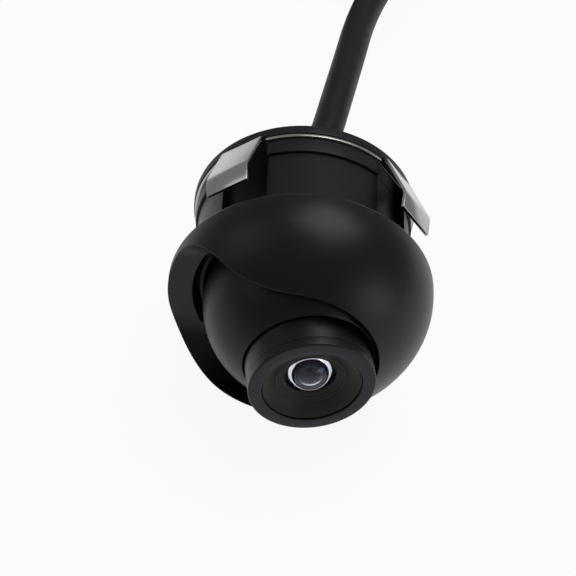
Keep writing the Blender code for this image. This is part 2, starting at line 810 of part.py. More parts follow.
def make_neck(parent, looks):
    """Neck, rear band, clip plate, cap with its screws, seal and boot."""
    taper = [groove_rear + BORE_TAPER * i / 3 for i in range(4)]
    neck = turned(
        "neck_housing",
        [
            (neck_mouth, neck_front),
            (collar_radius, neck_front),
            (collar_radius, collar_rear),
            (neck_radius, collar_rear),
            (neck_radius, neck_rear),
            (bore, neck_rear),
            *[(swept(y) + BORE_EASE, y) for y in reversed(taper)],
            (groove_radius, groove_rear),
            (groove_radius, neck_front + NECK_LIP),
            (neck_mouth, neck_front + NECK_LIP),
        ],
        parent,
        looks["neck"],
        FINE_SIDES,
    )
    band = turned(
        "rear_housing",
        [
            (spigot_radius - SPIGOT_WALL, spigot_front),
            (spigot_radius, spigot_front),
            (spigot_radius, band_front),
            (band_radius, band_front),
            (band_radius, band_rear),
            (WIRE_HOLE, band_rear),
            (WIRE_HOLE, web_front),
            (spigot_radius - SPIGOT_WALL, web_front),
        ],
        parent,
        looks["neck"],
        FINE_SIDES,
    )
    plate = turned(
        "clip_plate",
        [
            (plate_hole, plate_front),
            (plate_radius, plate_front),
            (plate_radius, plate_rear),
            (plate_hole, plate_rear),
        ],
        parent,
        looks["spring"],
        FINE_SIDES,
    )
    round_edge = arc((cap_radius - CAP_ROUND, cap_rear - CAP_ROUND), (CAP_ROUND, CAP_ROUND), 0, 90, 2)
    groove_floor = cap_front + CAP_SEAL_DEPTH
    cap = turned(
        "rear_cap",
        [
            (BOOT_CORE + SLIP, cap_front),
            (seal_in - SLIP, cap_front),
            (seal_in - SLIP, groove_floor),
            (seal_out + SLIP, groove_floor),
            (seal_out + SLIP, cap_front),
            (cap_radius, cap_front),
            *round_edge,
            (BOOT_CORE + SLIP, cap_rear),
        ],
        parent,
        looks["neck"],
        FINE_SIDES,
    )
    turned(
        "cap_seal",
        [
            (seal_in, plate_rear + SLIP),
            (seal_out, plate_rear + SLIP),
            (seal_out, groove_floor - SLIP),
            (seal_in, groove_floor - SLIP),
        ],
        parent,
        looks["rubber"],
        SMALL_SIDES,
    )

    angles = [LEG_ANGLE + 360 / LEG_COUNT * i for i in range(LEG_COUNT)]
    recesses = []
    notches = []
    reach = plate_radius + FIT
    for angle in angles:
        depth = reach - flat_height
        size = (depth, cap_rear - collar_rear, LEG_WIDTH + 2 * LEG_SIDE)
        recesses.append((block(size, (flat_height + depth / 2, (cap_rear + collar_rear) / 2, 0)), around(angle)))
        depth = reach - leg_root + SLIP
        size = (depth, 4 * PLATE, LEG_WIDTH + 2 * LEG_SIDE)
        notches.append((block(size, (reach - depth / 2, (plate_front + plate_rear) / 2, 0)), around(angle)))
    recess = piece("recess_cutter", merged(recesses), parent)
    cut(neck, recess)
    cut(band, recess)
    cut(plate, piece("notch_cutter", merged(notches), parent))

    head_seat = cap_rear - CAP_SCREW_SINK
    hole_radius = CAP_SCREW + SLIP
    sink_radius = CAP_SCREW_HEAD + SLIP
    tip = web_front - CAP_SCREW_TIP
    holes = []
    for i in range(CAP_SCREW_COUNT):
        angle = around(CAP_SCREW_ANGLE + 360 / CAP_SCREW_COUNT * i)
        place = angle @ Matrix.Translation((cap_screw_circle, 0, 0))
        hole = [(0.0, spigot_front), (hole_radius, spigot_front), (hole_radius, head_seat), (sink_radius, head_seat)]
        hole += [(sink_radius, boot_rear), (0.0, boot_rear)]
        holes.append((spun(hole, TINY_SIDES), place))
        screw = spun(
            [
                (0.0, tip),
                (CAP_SCREW, tip),
                (CAP_SCREW, head_seat + SLIP),
                (CAP_SCREW_HEAD, head_seat + SLIP),
                (CAP_SCREW_HEAD, head_seat + SLIP + CAP_SCREW_RISE),
                (0.0, head_seat + SLIP + CAP_SCREW_RISE),
            ],
            TINY_SIDES,
        )
        piece(f"cap_screw_{i + 1}", merged([(screw, place)]), parent, looks["screw"])
    drill = piece("screw_cutter", merged(holes), parent)
    for target in (band, plate, cap):
        cut(target, drill)

    boot = [
        (0.0, plate_front),
        (boot_flange, plate_front),
        (boot_flange, plate_rear),
        (BOOT_CORE, plate_rear),
        (BOOT_CORE, boot_front),
    ]
    run = BOOT_LENGTH / (2 * BOOT_RIBS + 1)
    for i in range(2 * BOOT_RIBS + 1):
        radius = BOOT_RADIUS + (BOOT_TIP - BOOT_RADIUS) * (i + 0.5) / (2 * BOOT_RIBS + 1)
        radius -= BOOT_GROOVE * (i % 2)
        boot += [(radius, boot_front + run * i), (radius, boot_front + run * (i + 1))]
    boot.append((0.0, boot_rear))
    bm = spun(boot, SMALL_SIDES)
    for vert in bm.verts:
        place, angle = boot_line(vert.co.y)
        side = Vector((math.cos(angle), -math.sin(angle), 0.0))
        vert.co = place + side * vert.co.x + Vector((0.0, 0.0, vert.co.z))
    piece("strain_relief", bm, parent, looks["rubber"])

    slack = web_front - WIRE_RADIUS - FIT
    tail = BALL_RADIUS - BOWL_INSET + SLIP + FIT
    tilt = math.radians(TILT_AT_REST)
    far = (spigot_radius - SPIGOT_WALL) * 0.55
    route = [
        (0.0, plate_front - FIT, 0.0),
        (0.1, web_front + 0.3 * WEB, 0.0),
        (0.35 * far, slack + WIRE_RADIUS, 0.1 * far),
        (0.85 * far, slack, 0.55 * far),
        (-0.2 * far, slack, 1.1 * far),
        (-0.95 * far, slack, 0.6 * far),
        (-0.75 * far, slack, -0.05 * far),
        (-(tail + 1.0) * math.sin(tilt) * 1.12, (tail + 0.8) * math.cos(tilt) - BALL_AHEAD, 0.0),
        (-tail * math.sin(tilt), tail * math.cos(tilt) - BALL_AHEAD, 0.0),
    ]
    tube("wire_loop", smooth_route(route, 2 * WIRE_RADIUS), WIRE_RADIUS, parent, looks["wire"], 1)


def strip_sides(points, thickness):
    """Two sides of a bent strip from its middle line."""
    left = []
    right = []
    for i, point in enumerate(points):
        before = point - points[max(i - 1, 0)]
        after = points[min(i + 1, len(points) - 1)] - point
        before = before.normalized() if before.length else after.normalized()
        after = after.normalized() if after.length else before
        mid = (before + after).normalized()
        side = Vector((-mid.y, mid.x)) * (thickness / 2 / max(mid.dot(after), 0.5))
        left.append(point + side)
        right.append(point - side)
    return left, right


def rounded(corner, before, after, radius, steps=4):
    """Points of a bend between two straight runs of a strip."""
    one = (before - corner).normalized()
    two = (after - corner).normalized()
    half = math.acos(max(-1.0, min(1.0, one.dot(two)))) / 2
    reach = radius / math.tan(half)
    start = corner + one * reach
    end = corner + two * reach
    bend = []
    for i in range(steps + 1):
        t = i / steps
        bend.append(start * (1 - t) ** 2 + corner * 2 * t * (1 - t) + end * t ** 2)
    return bend


def make_leg(name, parent, material):
    """Bent spring leg, with its root at the origin and +X outwards."""
    root = Vector((0.0, 0.0))
    shoulder = Vector((LEG_SHOULDER, 0.0))
    elbow = Vector((LEG_ELBOW[0], -LEG_ELBOW[1]))
    tip = Vector((LEG_TIP[0], -LEG_TIP[1]))
    line = [root, *rounded(shoulder, root, elbow, LEG_BEND * 0.4), *rounded(elbow, shoulder, tip, LEG_BEND * 4)]
    bm = bmesh.new()
    left, right = [
        [bm.verts.new((p.x, p.y, -leg_half)) for p in side] for side in strip_sides(line + [tip], PLATE)
    ]
    faces = [bm.faces.new(corners) for corners in zip(left, left[1:], right[1:], right)]
    side = bmesh.ops.extrude_face_region(bm, geom=faces)["geom"]
    bmesh.ops.translate(bm, vec=(0, 0, LEG_WIDTH), verts=[v for v in side if isinstance(v, bmesh.types.BMVert)])
    return piece(name, bm, parent, material)


def eased(place, start, end):
    """Smooth step from 0 to 1 between two places."""
    share = min(1.0, max(0.0, (place - start) / (end - start)))
    return share * share * (3 - 2 * share)


def hank_radius(turn):
    """Half-width of the hank's loop at a turn: inwards on one layer, outwards on the next."""
    layer = min(HANK_LAYERS - 1, int(turn / LAYER_TURNS))
    done = turn - layer * LAYER_TURNS
    inwards = layer % 2 == 0
    return hank_out - HANK_PITCH * (done if inwards else LAYER_TURNS - done)


def hank_points(start, low):
    """Loops of the put-away cable, wound from the top layer down, with its end inside the loops."""
    centre = Vector((start[0] - hank_out, start[1]))
    folds = round(2 * LAYER_TURNS * HANK_LAYERS)
    sink_fold = round(2 * LAYER_TURNS)
    drop_fold = 2 * sink_fold
    half = LOOP_STEPS // 2
    points = []

    def add(x, y, fold, run, bend):
        sink = eased(run * HANK_RUN + bend * HANK_FOLD * math.pi, HANK_RUN - SINK_BEFORE, HANK_RUN + SINK_AFTER)
        sunk = 0.0 if fold < sink_fold else sink if fold == sink_fold else 1.0
        sunk += 0.0 if fold < drop_fold else eased(run, 0.0, 1.0) if fold == drop_fold else 1.0
        points.append(Vector((centre.x + x, centre.y + y, low + HANK_LAYER * (HANK_LAYERS - 1 - sunk))))

    for fold in range(folds):
        away = fold % 2 == 0
        side = 1 if away else -1
        width = hank_radius(fold / 2)
        for i in range(RUN_STEPS):
            run = i / RUN_STEPS
            add(side * width, HANK_RUN * (run if away else 1 - run), fold, run, 0.0)
        last = fold == folds - 1
        for i in range(half + (1 if last else 0)):
            bend = i / half
            radius = HANK_FOLD if last else hank_radius((fold + bend) / 2)
            shift = width - HANK_FOLD if last else 0.0
            angle = math.pi * (fold + bend)
            add(shift + radius * math.cos(angle), (HANK_RUN if away else 0.0) + radius * math.sin(angle), fold, 1.0, bend)
    return points, centre


def make_tie(name, centre, low, parent, material):
    """Band around the runs on the hank's outer side, where two columns of them lie side by side."""
    ease = CABLE / 2 + TIE_GAP
    half_run = HANK_PITCH / 2
    half_rise = HANK_LAYER * (HANK_LAYERS - 1) / 2
    loops = []
    for radius in (ease, ease + TIE_THICK):
        loop = []
        for quarter, (side, rise) in enumerate(((1, 1), (-1, 1), (-1, -1), (1, -1))):
            corner = (side * half_run, rise * half_rise)
            loop += arc(corner, (radius, radius), 90 * quarter, 90 * quarter + 90, 4)
        loops.append(loop)
    bm = bmesh.new()
    rows = []
    for y in (-TIE_WIDTH / 2, TIE_WIDTH / 2):
        for loop in loops:
            rows.append([bm.verts.new((x, y, z)) for x, z in loop])
    count = len(loops[0])
    for one, two in ((0, 1), (1, 3), (3, 2), (2, 0)):
        for i in range(count):
            j = (i + 1) % count
            bm.faces.new((rows[one][i], rows[one][j], rows[two][j], rows[two][i]))
    middle = (centre.x + hank_out - half_run, centre.y + HANK_RUN / 2, low + half_rise)
    bmesh.ops.translate(bm, vec=middle, verts=bm.verts)
    return piece(name, bm, parent, material)


def make_plug(end, floor, parent, looks):
    """Round connector that lies on the floor, looking back along the cable."""
    axis = Vector((end[0], end[1] - FIT, floor + FLOOR_GAP + PLUG_RADIUS))
    facing = guide("connector_place", axis, parent, (0.0, 0.0, math.pi))
    body_end = PLUG_TAPER + PLUG_LENGTH
    nose_start = body_end - NOSE_SOCKET + SLIP
    nose_end = body_end + NOSE_LENGTH - NOSE_SOCKET
    bore_radius = NOSE_RADIUS - NOSE_WALL
    turned(
        "connector_body",
        [
            (0.0, 0.0),
            (PLUG_NECK, 0.0),
            (PLUG_RADIUS - PLUG_ROUND, PLUG_TAPER),
            *arc((PLUG_RADIUS - PLUG_ROUND, PLUG_TAPER + PLUG_ROUND), (PLUG_ROUND, PLUG_ROUND), -90, 0, 2)[1:],
            (PLUG_RADIUS, body_end),
            (NOSE_RADIUS + SLIP, body_end),
            (NOSE_RADIUS + SLIP, body_end - NOSE_SOCKET),
            (0.0, body_end - NOSE_SOCKET),
        ],
        facing,
        looks["plug"],
        INNER_SIDES,
    )
    turned(
        "connector_shell",
        [
            (bore_radius, nose_start),
            (NOSE_RADIUS, nose_start),
            (NOSE_RADIUS, nose_end),
            (bore_radius, nose_end),
        ],
        facing,
        looks["plug"],
        INNER_SIDES,
    )
    insert_end = nose_start + INSERT_DEPTH
    insert = turned(
        "connector_insert",
        [
            (0.0, nose_start),
            (bore_radius - SLIP, nose_start),
            (bore_radius - SLIP, insert_end),
            (0.0, insert_end),
        ],
        facing,
        looks["plug"],
        INNER_SIDES,
    )
    back = nose_start + CONTACT_BACK
    holes = []
    for i in range(PIN_COUNT):
        turn = around(45 + 360 / PIN_COUNT * i) @ Matrix.Translation((CONTACT_CIRCLE, 0, 0))
        holes.append((rod(CONTACT_RADIUS + SLIP, back - SLIP, nose_end, TINY_SIDES), turn))
        pin = rod(CONTACT_RADIUS, back, back + CONTACT_LENGTH, TINY_SIDES)
        piece(f"connector_pin_{i + 1}", merged([(pin, turn)]), facing, looks["contact"])
    cut(insert, piece("contact_cutter", merged(holes), facing))


def make_cable(parent, looks):
    """Lead, put-away hank, tail, tie and connector."""
    floor = -dome_radius
    low = floor + FLOOR_GAP + TIE_THICK + TIE_GAP + CABLE / 2
    high = low + HANK_LAYER * (HANK_LAYERS - 1)
    place, angle = boot_line(boot_rear)
    start = place + Vector((math.sin(angle), math.cos(angle), 0.0)) * FIT
    route = [(start.x + x, start.y + y, high * share) for x, y, share in LEAD_ROUTE]
    lead = smooth_route(route, 1.6 * CABLE)
    tube("cable_lead", lead, CABLE / 2, parent, looks["cable"], 2)

    last = route[-1]
    hank, centre = hank_points((last[0], last[1] + FIT, last[2]), low)
    tube("cable_hank", hank, CABLE / 2, parent, looks["cable"], 1)
    make_tie("cable_tie", centre, low, parent, looks["tie"])

    start = hank[-1] + Vector((0, -FIT, 0))
    end = Vector((start.x, start.y - TAIL_LENGTH, floor + FLOOR_GAP + PLUG_RADIUS))
    tail = []
    for i in range(TAIL_STEPS + 1):
        share = i / TAIL_STEPS
        rise = eased(share, 0.0, 1.0)
        tail.append(Vector((start.x, start.y + (end.y - start.y) * share, start.z + (end.z - start.z) * rise)))
    tube("cable_tail", tail, CABLE / 2, parent, looks["cable"], 2)
    make_plug(end, floor, parent, looks)
    length = route_length(lead) + route_length(hank) + route_length(tail)
    print("cable length, mm:", round(length, 1))


def main():
    clear_scene()
    looks = {
        "dome": plain("dome_plastic", (0.012, 0.012, 0.013), 0.38),
        "ball": plain("ball_plastic", (0.012, 0.012, 0.013), 0.42),
        "barrel": plain("barrel_plastic", (0.010, 0.010, 0.011), 0.36),
        "retainer": plain("retainer_plastic", (0.008, 0.008, 0.009), 0.30),
        "neck": plain("neck_plastic", (0.013, 0.013, 0.014), 0.45),
        "ring": plain("ring_plastic", (0.02, 0.02, 0.02), 0.5),
        "glass": plain("lens_glass", (0.10, 0.11, 0.22), 0.04),
        "filter": plain("filter_glass", (0.20, 0.30, 0.32), 0.08),
        "tube": plain("tube_plastic", (0.015, 0.015, 0.015), 0.55),
        "board": plain("board_laminate", (0.02, 0.09, 0.04), 0.5),
        "chip": plain("chip_resin", (0.02, 0.02, 0.022), 0.5),
        "socket": plain("socket_plastic", (0.70, 0.68, 0.62), 0.5),
        "pin": plain("pin_steel", (0.55, 0.55, 0.56), 0.3, 1.0),
        "screw": plain("screw_steel", (0.45, 0.45, 0.46), 0.35, 1.0),
        "spring": plain("spring_steel", (0.62, 0.62, 0.64), 0.32, 1.0),
        "rubber": plain("seal_rubber", (0.014, 0.014, 0.014), 0.7),
        "wire": plain("wire_jacket", (0.03, 0.03, 0.03), 0.6),
        "cable": plain("cable_jacket", (0.016, 0.016, 0.017), 0.6),
        "tie": plain("tie_nylon", (0.02, 0.02, 0.02), 0.5),
        "plug": plain("plug_plastic", (0.015, 0.015, 0.016), 0.5),
        "contact": plain("contact_brass", (0.72, 0.55, 0.22), 0.3, 1.0),
    }
    tilt = math.radians(TILT_AT_REST)
    reach = max(front * math.cos(tilt) + radius * math.sin(tilt) for radius, front in ring_outline())
    boot_end, lean = boot_line(boot_rear)
    centre_y = (BALL_AHEAD + reach - boot_end.y - BOOT_TIP * math.sin(lean)) / 2
    centre = (0.0, centre_y, dome_radius)
    body = guide("body_axis", centre)
    swivel = guide("swivel_axis", centre)
    ball = guide("tilt_axis", (0.0, -BALL_AHEAD, 0.0), swivel, (0.0, 0.0, tilt))
    make_dome(swivel, looks)
    make_ball(ball, looks)
    make_lens(ball, looks)
    make_board(ball, looks)
    make_neck(body, looks)
    for i in range(LEG_COUNT):
        angle = LEG_ANGLE + 360 / LEG_COUNT * i
        turn = math.radians(angle)
        place = (leg_root * math.cos(turn), (plate_front + plate_rear) / 2, leg_root * math.sin(turn))
        hinge = guide(f"leg_axis_{i + 1}", place, body, (0.0, -turn, 0.0))
        make_leg(f"clip_leg_{i + 1}", hinge, looks["spring"])
    make_cable(body, looks)


main()
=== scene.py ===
# %% [markdown]
# # A clip-in reversing camera
#
# This part is a small camera that snaps into a round hole in a bumper or a trailer panel. A black dome turns
# in front of the panel, a ball with the lens tilts in the dome's slot, four steel springs grip the panel from
# behind, and a cable runs away to a plug. The lesson loads the solids, then puts a smoother, finer
# piece in the place of each one that the eye can see, and gives every piece its finish.
#
# The solids come first because they are exact: each new piece takes its place from them, so nothing has to be
# fitted by eye afterwards.

# %% Load the solids
import json
import math

import bmesh
import bpy
from mathutils import Matrix, Vector


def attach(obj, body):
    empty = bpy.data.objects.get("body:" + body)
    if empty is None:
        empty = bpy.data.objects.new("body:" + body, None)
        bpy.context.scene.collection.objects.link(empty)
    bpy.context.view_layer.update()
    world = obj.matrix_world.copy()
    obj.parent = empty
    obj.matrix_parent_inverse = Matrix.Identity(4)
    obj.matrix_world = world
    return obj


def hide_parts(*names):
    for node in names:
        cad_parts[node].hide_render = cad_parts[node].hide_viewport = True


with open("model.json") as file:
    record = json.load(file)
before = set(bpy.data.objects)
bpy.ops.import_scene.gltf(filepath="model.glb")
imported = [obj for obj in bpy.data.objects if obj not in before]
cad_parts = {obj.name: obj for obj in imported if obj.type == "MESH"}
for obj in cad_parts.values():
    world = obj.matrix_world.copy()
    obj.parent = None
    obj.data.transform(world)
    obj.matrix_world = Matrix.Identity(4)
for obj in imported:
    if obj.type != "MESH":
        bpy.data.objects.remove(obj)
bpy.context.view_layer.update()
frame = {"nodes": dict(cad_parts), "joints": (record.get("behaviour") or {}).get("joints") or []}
MM = 0.001
joints = {joint["name"]: joint for joint in frame["joints"]}

# %% [markdown]
# ## Where things are
#
# Two points place everything: the middle of the dome's widest circle, on the axis that the dome turns about,
# and the middle of the lens ball. Both are joints of the solids, so they are read from there. A piece of the
# body is drawn about the body's axis, which lies along Y with the lens at its low end, and a piece of the lens is
# drawn along the ball's own axis, which leans a little to the side.

# %% Two places to draw from
dome_middle = Vector(joints["dome_swivel"]["pos_m"]) / MM
ball_middle = Vector(joints["lens_tilt"]["pos_m"]) / MM
LENS_LEAN = 8.1
on_body = Matrix.Translation(dome_middle)
on_ball = Matrix.Translation(ball_middle) @ Matrix.Rotation(math.radians(LENS_LEAN), 4, "Z")
print("dome", tuple(dome_middle), "ball", tuple(ball_middle))

# %% [markdown]
# ## The camera that looks at it
#
# The picture was taken from in front and above, with the body leaning away. Its viewpoint was worked out from
# the round edges of the dome, the neck and the lens ring: how far round the view goes, how high it is, and how far
# the frame is turned. A camera's matrix has its right, its up and its backward direction as columns, so those
# three are written out here instead of using angles that have to be applied in the right order.

# %% Viewpoint
VIEW_TURN, VIEW_RISE, VIEW_ROLL = (math.radians(angle) for angle in (-4.119, 46.6, 8.062))
VIEW_AWAY = 220.0
back = Vector((
    math.sin(VIEW_TURN) * math.cos(VIEW_RISE), -math.cos(VIEW_TURN) * math.cos(VIEW_RISE), math.sin(VIEW_RISE)
))
level = Vector((math.cos(VIEW_TURN), math.sin(VIEW_TURN), 0.0))
upright = back.cross(level)
right = level * math.cos(VIEW_ROLL) + upright * math.sin(VIEW_ROLL)
up = upright * math.cos(VIEW_ROLL) - level * math.sin(VIEW_ROLL)
viewer = bpy.data.objects.new("viewer", bpy.data.cameras.new("viewer"))
viewer.data.sensor_width = 36.0
viewer.data.lens = 130.56
viewer.data.shift_x = -0.0218
viewer.data.shift_y = 0.0132
viewer.data.clip_start = 0.01
stand = Matrix.Translation((dome_middle + back * VIEW_AWAY) * MM)
viewer.matrix_world = stand @ Matrix((right, up, back)).transposed().to_4x4()
bpy.context.scene.collection.objects.link(viewer)
bpy.context.scene.camera = viewer
bpy.context.scene.view_settings.view_transform = "Standard"
print("viewer at", tuple(viewer.location))

# %% [markdown]
# ## Tools for finishes
#
# Colours are easiest to write as the hex values that a paint program shows, but shaders count light, so one
# function turns a hex value to linear numbers. Another adds a node: what is given for an input is either a value,
# which is set, or another node's output, which is linked.

# %% Colour and nodes
def linear(code):
    """Linear colour from a hex value."""
    parts = [int(code[i:i + 2], 16) / 255 for i in (1, 3, 5)]
    return (*[c / 12.92 if c <= 0.04045 else ((c + 0.055) / 1.055) ** 2.4 for c in parts], 1.0)


def add(tree, kind, inputs=None, **settings):
    """Adds a node, sets its properties, and sets or links its inputs."""
    node = tree.nodes.new(kind)
    for name, value in settings.items():
        setattr(node, name, value)
    for name, value in (inputs or {}).items():
        if isinstance(value, bpy.types.NodeSocket):
            tree.links.new(value, node.inputs[name])
        else:
            node.inputs[name].default_value = value
    return node


def finish_called(name):
    """Empty material with its node tree."""
    material = bpy.data.materials.new(name)
    material.use_nodes = True
    material.node_tree.nodes.clear()
    return material, material.node_tree


print("satin black is", [round(c, 4) for c in linear("#070708")])

# %% [markdown]
# ## Moulded black plastic
#
# Nearly everything here is injection-moulded black ABS. A mould is spark-eroded, which leaves a very fine even
# grain on the plastic, so it shines softly instead of like a mirror. Handling leaves the shine a little uneven.
# The corners of a moulding are never sharp either, and a thin line of light follows each one. The grain is a
# fine noise in the bump, the uneven shine is a large soft noise in the roughness, and a Bevel node rounds
# the corners' shading where the mesh itself is still sharp. A blue toner keeps black plastic from looking brown, so
# its shine is a trace cooler than the light.

# %% Moulded plastic
def moulded(name, dark, pale, shine, grain=0.25, lift=0.02, edge=0.2, specular=0.28):
    """Moulded plastic: grain size and rounded edge in mm, shine as lowest and highest roughness."""
    material, tree = finish_called(name)
    place = add(tree, "ShaderNodeTexCoord").outputs["Object"]
    # The grain is drawn coarser than a real 0.05 mm so that it shows in a picture of this size.
    speck = add(tree, "ShaderNodeTexNoise", {"Vector": place, "Scale": 1 / (grain * MM), "Detail": 3.0})
    cloud = add(tree, "ShaderNodeTexNoise", {"Vector": place, "Scale": 1 / (7 * MM), "Detail": 4.0, "Roughness": 0.6})
    rough = add(tree, "ShaderNodeMapRange", {"Value": cloud.outputs["Fac"], "From Min": 0.3, "From Max": 0.7,
                                             "To Min": shine[0], "To Max": shine[1]})
    tint = add(tree, "ShaderNodeMix", {"Factor": cloud.outputs["Fac"], "A": linear(dark), "B": linear(pale)},
               data_type="RGBA")
    corner = add(tree, "ShaderNodeBevel", {"Radius": edge * MM}, samples=8)
    bump = add(tree, "ShaderNodeBump", {"Height": speck.outputs["Fac"], "Normal": corner.outputs["Normal"],
                                        "Strength": 0.25, "Distance": lift * MM})
    shader = add(tree, "ShaderNodeBsdfPrincipled", {
        "Base Color": tint.outputs["Result"], "Roughness": rough.outputs["Result"], "Normal": bump.outputs["Normal"],
        "Specular IOR Level": specular, "Specular Tint": linear("#f4f4ff"), "IOR": 1.5})
    add(tree, "ShaderNodeOutputMaterial", {"Surface": shader.outputs["BSDF"]})
    return material


dome_plastic = moulded("abs_satin_black", "#070708", "#0a0a0c", (0.34, 0.4))
ball_plastic = moulded("abs_fine_black", "#060607", "#09090a", (0.38, 0.46))
barrel_plastic = moulded("abs_barrel_black", "#07070a", "#0a0a0d", (0.33, 0.4), edge=0.12)
neck_plastic = moulded("abs_neck_black", "#09090a", "#0d0d0f", (0.4, 0.5), edge=0.12)
dish_plastic = moulded("abs_dish_black", "#282624", "#2f2d2a", (0.36, 0.44), edge=0.05, specular=0.12)
plug_plastic = moulded("nylon_plug_black", "#0c0c0d", "#111112", (0.45, 0.55), grain=0.35)
hidden_plastic = moulded("abs_inner_black", "#050506", "#070708", (0.5, 0.6))
iris_black = moulded("anodised_iris_black", "#2a2122", "#30272a", (0.5, 0.6), edge=0.03, specular=0.1)
print("plastics", [m.name for m in bpy.data.materials if m.name.startswith(("abs", "nylon"))])

# %% [markdown]
# ## Rubber and cable
#
# The boot behind the cap and the seals are moulded rubber, and the cable has a jacket of matt PVC. Both scatter
# light much more than the mouldings: the highlight along the cable is broad and grey. Rubber also keeps a faint
# bloom of pale dust, which is a second, larger noise in its colour.

# %% Rubber and PVC
def soft_finish(name, dark, pale, rough, grain, specular):
    """Rubber or PVC: matt, with a dusty colour and a fine grain."""
    material, tree = finish_called(name)
    place = add(tree, "ShaderNodeTexCoord").outputs["Object"]
    dust = add(tree, "ShaderNodeTexNoise", {"Vector": place, "Scale": 1 / (3 * MM), "Detail": 6.0, "Roughness": 0.65})
    speck = add(tree, "ShaderNodeTexNoise", {"Vector": place, "Scale": 1 / (grain * MM), "Detail": 2.0})
    tint = add(tree, "ShaderNodeMix", {"Factor": dust.outputs["Fac"], "A": linear(dark), "B": linear(pale)},
               data_type="RGBA")
    matt = add(tree, "ShaderNodeMapRange", {"Value": dust.outputs["Fac"], "From Min": 0.3, "From Max": 0.7,
                                            "To Min": rough - 0.05, "To Max": rough + 0.05})
    bump = add(tree, "ShaderNodeBump", {"Height": speck.outputs["Fac"], "Strength": 0.3, "Distance": 0.03 * MM})
    shader = add(tree, "ShaderNodeBsdfPrincipled", {
        "Base Color": tint.outputs["Result"], "Roughness": matt.outputs["Result"], "Normal": bump.outputs["Normal"],
        "Specular IOR Level": specular, "IOR": 1.5})
    add(tree, "ShaderNodeOutputMaterial", {"Surface": shader.outputs["BSDF"]})
    return material


cable_jacket = soft_finish("pvc_cable_black", "#0c0c0d", "#111113", 0.5, 0.3, 0.25)
boot_rubber = soft_finish("rubber_boot_black", "#0c0c0d", "#121212", 0.62, 0.4, 0.2)
seal_rubber = soft_finish("rubber_seal_black", "#0a0a0a", "#0f0f0f", 0.7, 0.4, 0.2)
tie_nylon = soft_finish("nylon_tie_black", "#0f0f10", "#151516", 0.42, 0.5, 0.25)
wire_jacket = soft_finish("pvc_wire_dark", "#1c1c1d", "#242425", 0.6, 0.4, 0.3)
print("soft finishes", [m.name for m in (cable_jacket, boot_rubber, seal_rubber, tie_nylon, wire_jacket)])

# %% [markdown]
# ## Metals
#
# The clip is rolled stainless spring steel. Rolling leaves fine lines along the strip, so the shine is drawn
# out across them and the reflection is soft. The lines are a noise that is stretched along the body's axis,
# in the roughness and the bump. The screws and pins share the same recipe with other numbers, and the contacts
# in the plug are brass.

# %% Rolled and turned metal
def metal(name, dark, pale, rough, stretch, lift=0.01):
    """Metal with rolling or turning lines; stretch is the lines' spacing in mm along X, Y and Z."""
    material, tree = finish_called(name)
    place = add(tree, "ShaderNodeTexCoord").outputs["Object"]
    lines = add(tree, "ShaderNodeMapping", {"Vector": place, "Scale": [1 / (step * MM) for step in stretch]})
    streak = add(tree, "ShaderNodeTexNoise", {"Vector": lines.outputs["Vector"], "Scale": 1.0, "Detail": 3.0})
    cloud = add(tree, "ShaderNodeTexNoise", {"Vector": place, "Scale": 1 / (2.5 * MM), "Detail": 4.0})
    tint = add(tree, "ShaderNodeMix", {"Factor": cloud.outputs["Fac"], "A": linear(dark), "B": linear(pale)},
               data_type="RGBA")
    shine = add(tree, "ShaderNodeMapRange", {"Value": streak.outputs["Fac"], "From Min": 0.3, "From Max": 0.7,
                                             "To Min": rough[0], "To Max": rough[1]})
    corner = add(tree, "ShaderNodeBevel", {"Radius": 0.08 * MM}, samples=6)
    bump = add(tree, "ShaderNodeBump", {"Height": streak.outputs["Fac"], "Normal": corner.outputs["Normal"],
                                        "Strength": 0.2, "Distance": lift * MM})
    shader = add(tree, "ShaderNodeBsdfPrincipled", {
        "Base Color": tint.outputs["Result"], "Roughness": shine.outputs["Result"], "Normal": bump.outputs["Normal"],
        "Metallic": 1.0})
    add(tree, "ShaderNodeOutputMaterial", {"Surface": shader.outputs["BSDF"]})
    return material


spring_steel = metal("stainless_spring_rolled", "#a9a8a5", "#b3b2af", (0.16, 0.22), (0.12, 4.0, 0.12), 0.004)
screw_steel = metal("steel_screw_zinc", "#8d8e92", "#a2a3a6", (0.3, 0.42), (0.3, 0.3, 0.3))
pin_steel = metal("steel_pin_ground", "#9a9a9c", "#adadaf", (0.25, 0.35), (0.2, 2.0, 0.2))
contact_brass = metal("brass_contact", "#b08d4a", "#c9a55c", (0.25, 0.35), (0.2, 2.0, 0.2))
print("metals", [m.name for m in (spring_steel, screw_steel, pin_steel, contact_brass)])

# %% [markdown]
# ## Glass
#
# The front lens is a small dome of clear glass with a coating that is thinner than a wavelength of light. That
# film is why a lens looks blue or purple from some sides. A Principled shader has a thin film of its own, so
# the colour comes from real optics and follows the light. Behind the lens stand the other glasses and the
# infrared filter, which is a faint green-blue.

# %% Coated glass
def glass(name, tint, film, rough=0.0):
    """Clear optical glass with a coating; film is its thickness in nanometres."""
    material, tree = finish_called(name)
    place = add(tree, "ShaderNodeTexCoord").outputs["Object"]
    breath = add(tree, "ShaderNodeTexNoise", {"Vector": place, "Scale": 1 / (1.5 * MM), "Detail": 3.0})
    shine = add(tree, "ShaderNodeMapRange", {"Value": breath.outputs["Fac"], "To Min": rough, "To Max": rough + 0.004})
    shader = add(tree, "ShaderNodeBsdfPrincipled", {
        "Base Color": linear(tint), "Roughness": shine.outputs["Result"], "IOR": 1.52, "Transmission Weight": 1.0,
        "Thin Film Thickness": film, "Thin Film IOR": 1.38})
    add(tree, "ShaderNodeOutputMaterial", {"Surface": shader.outputs["BSDF"]})
    return material


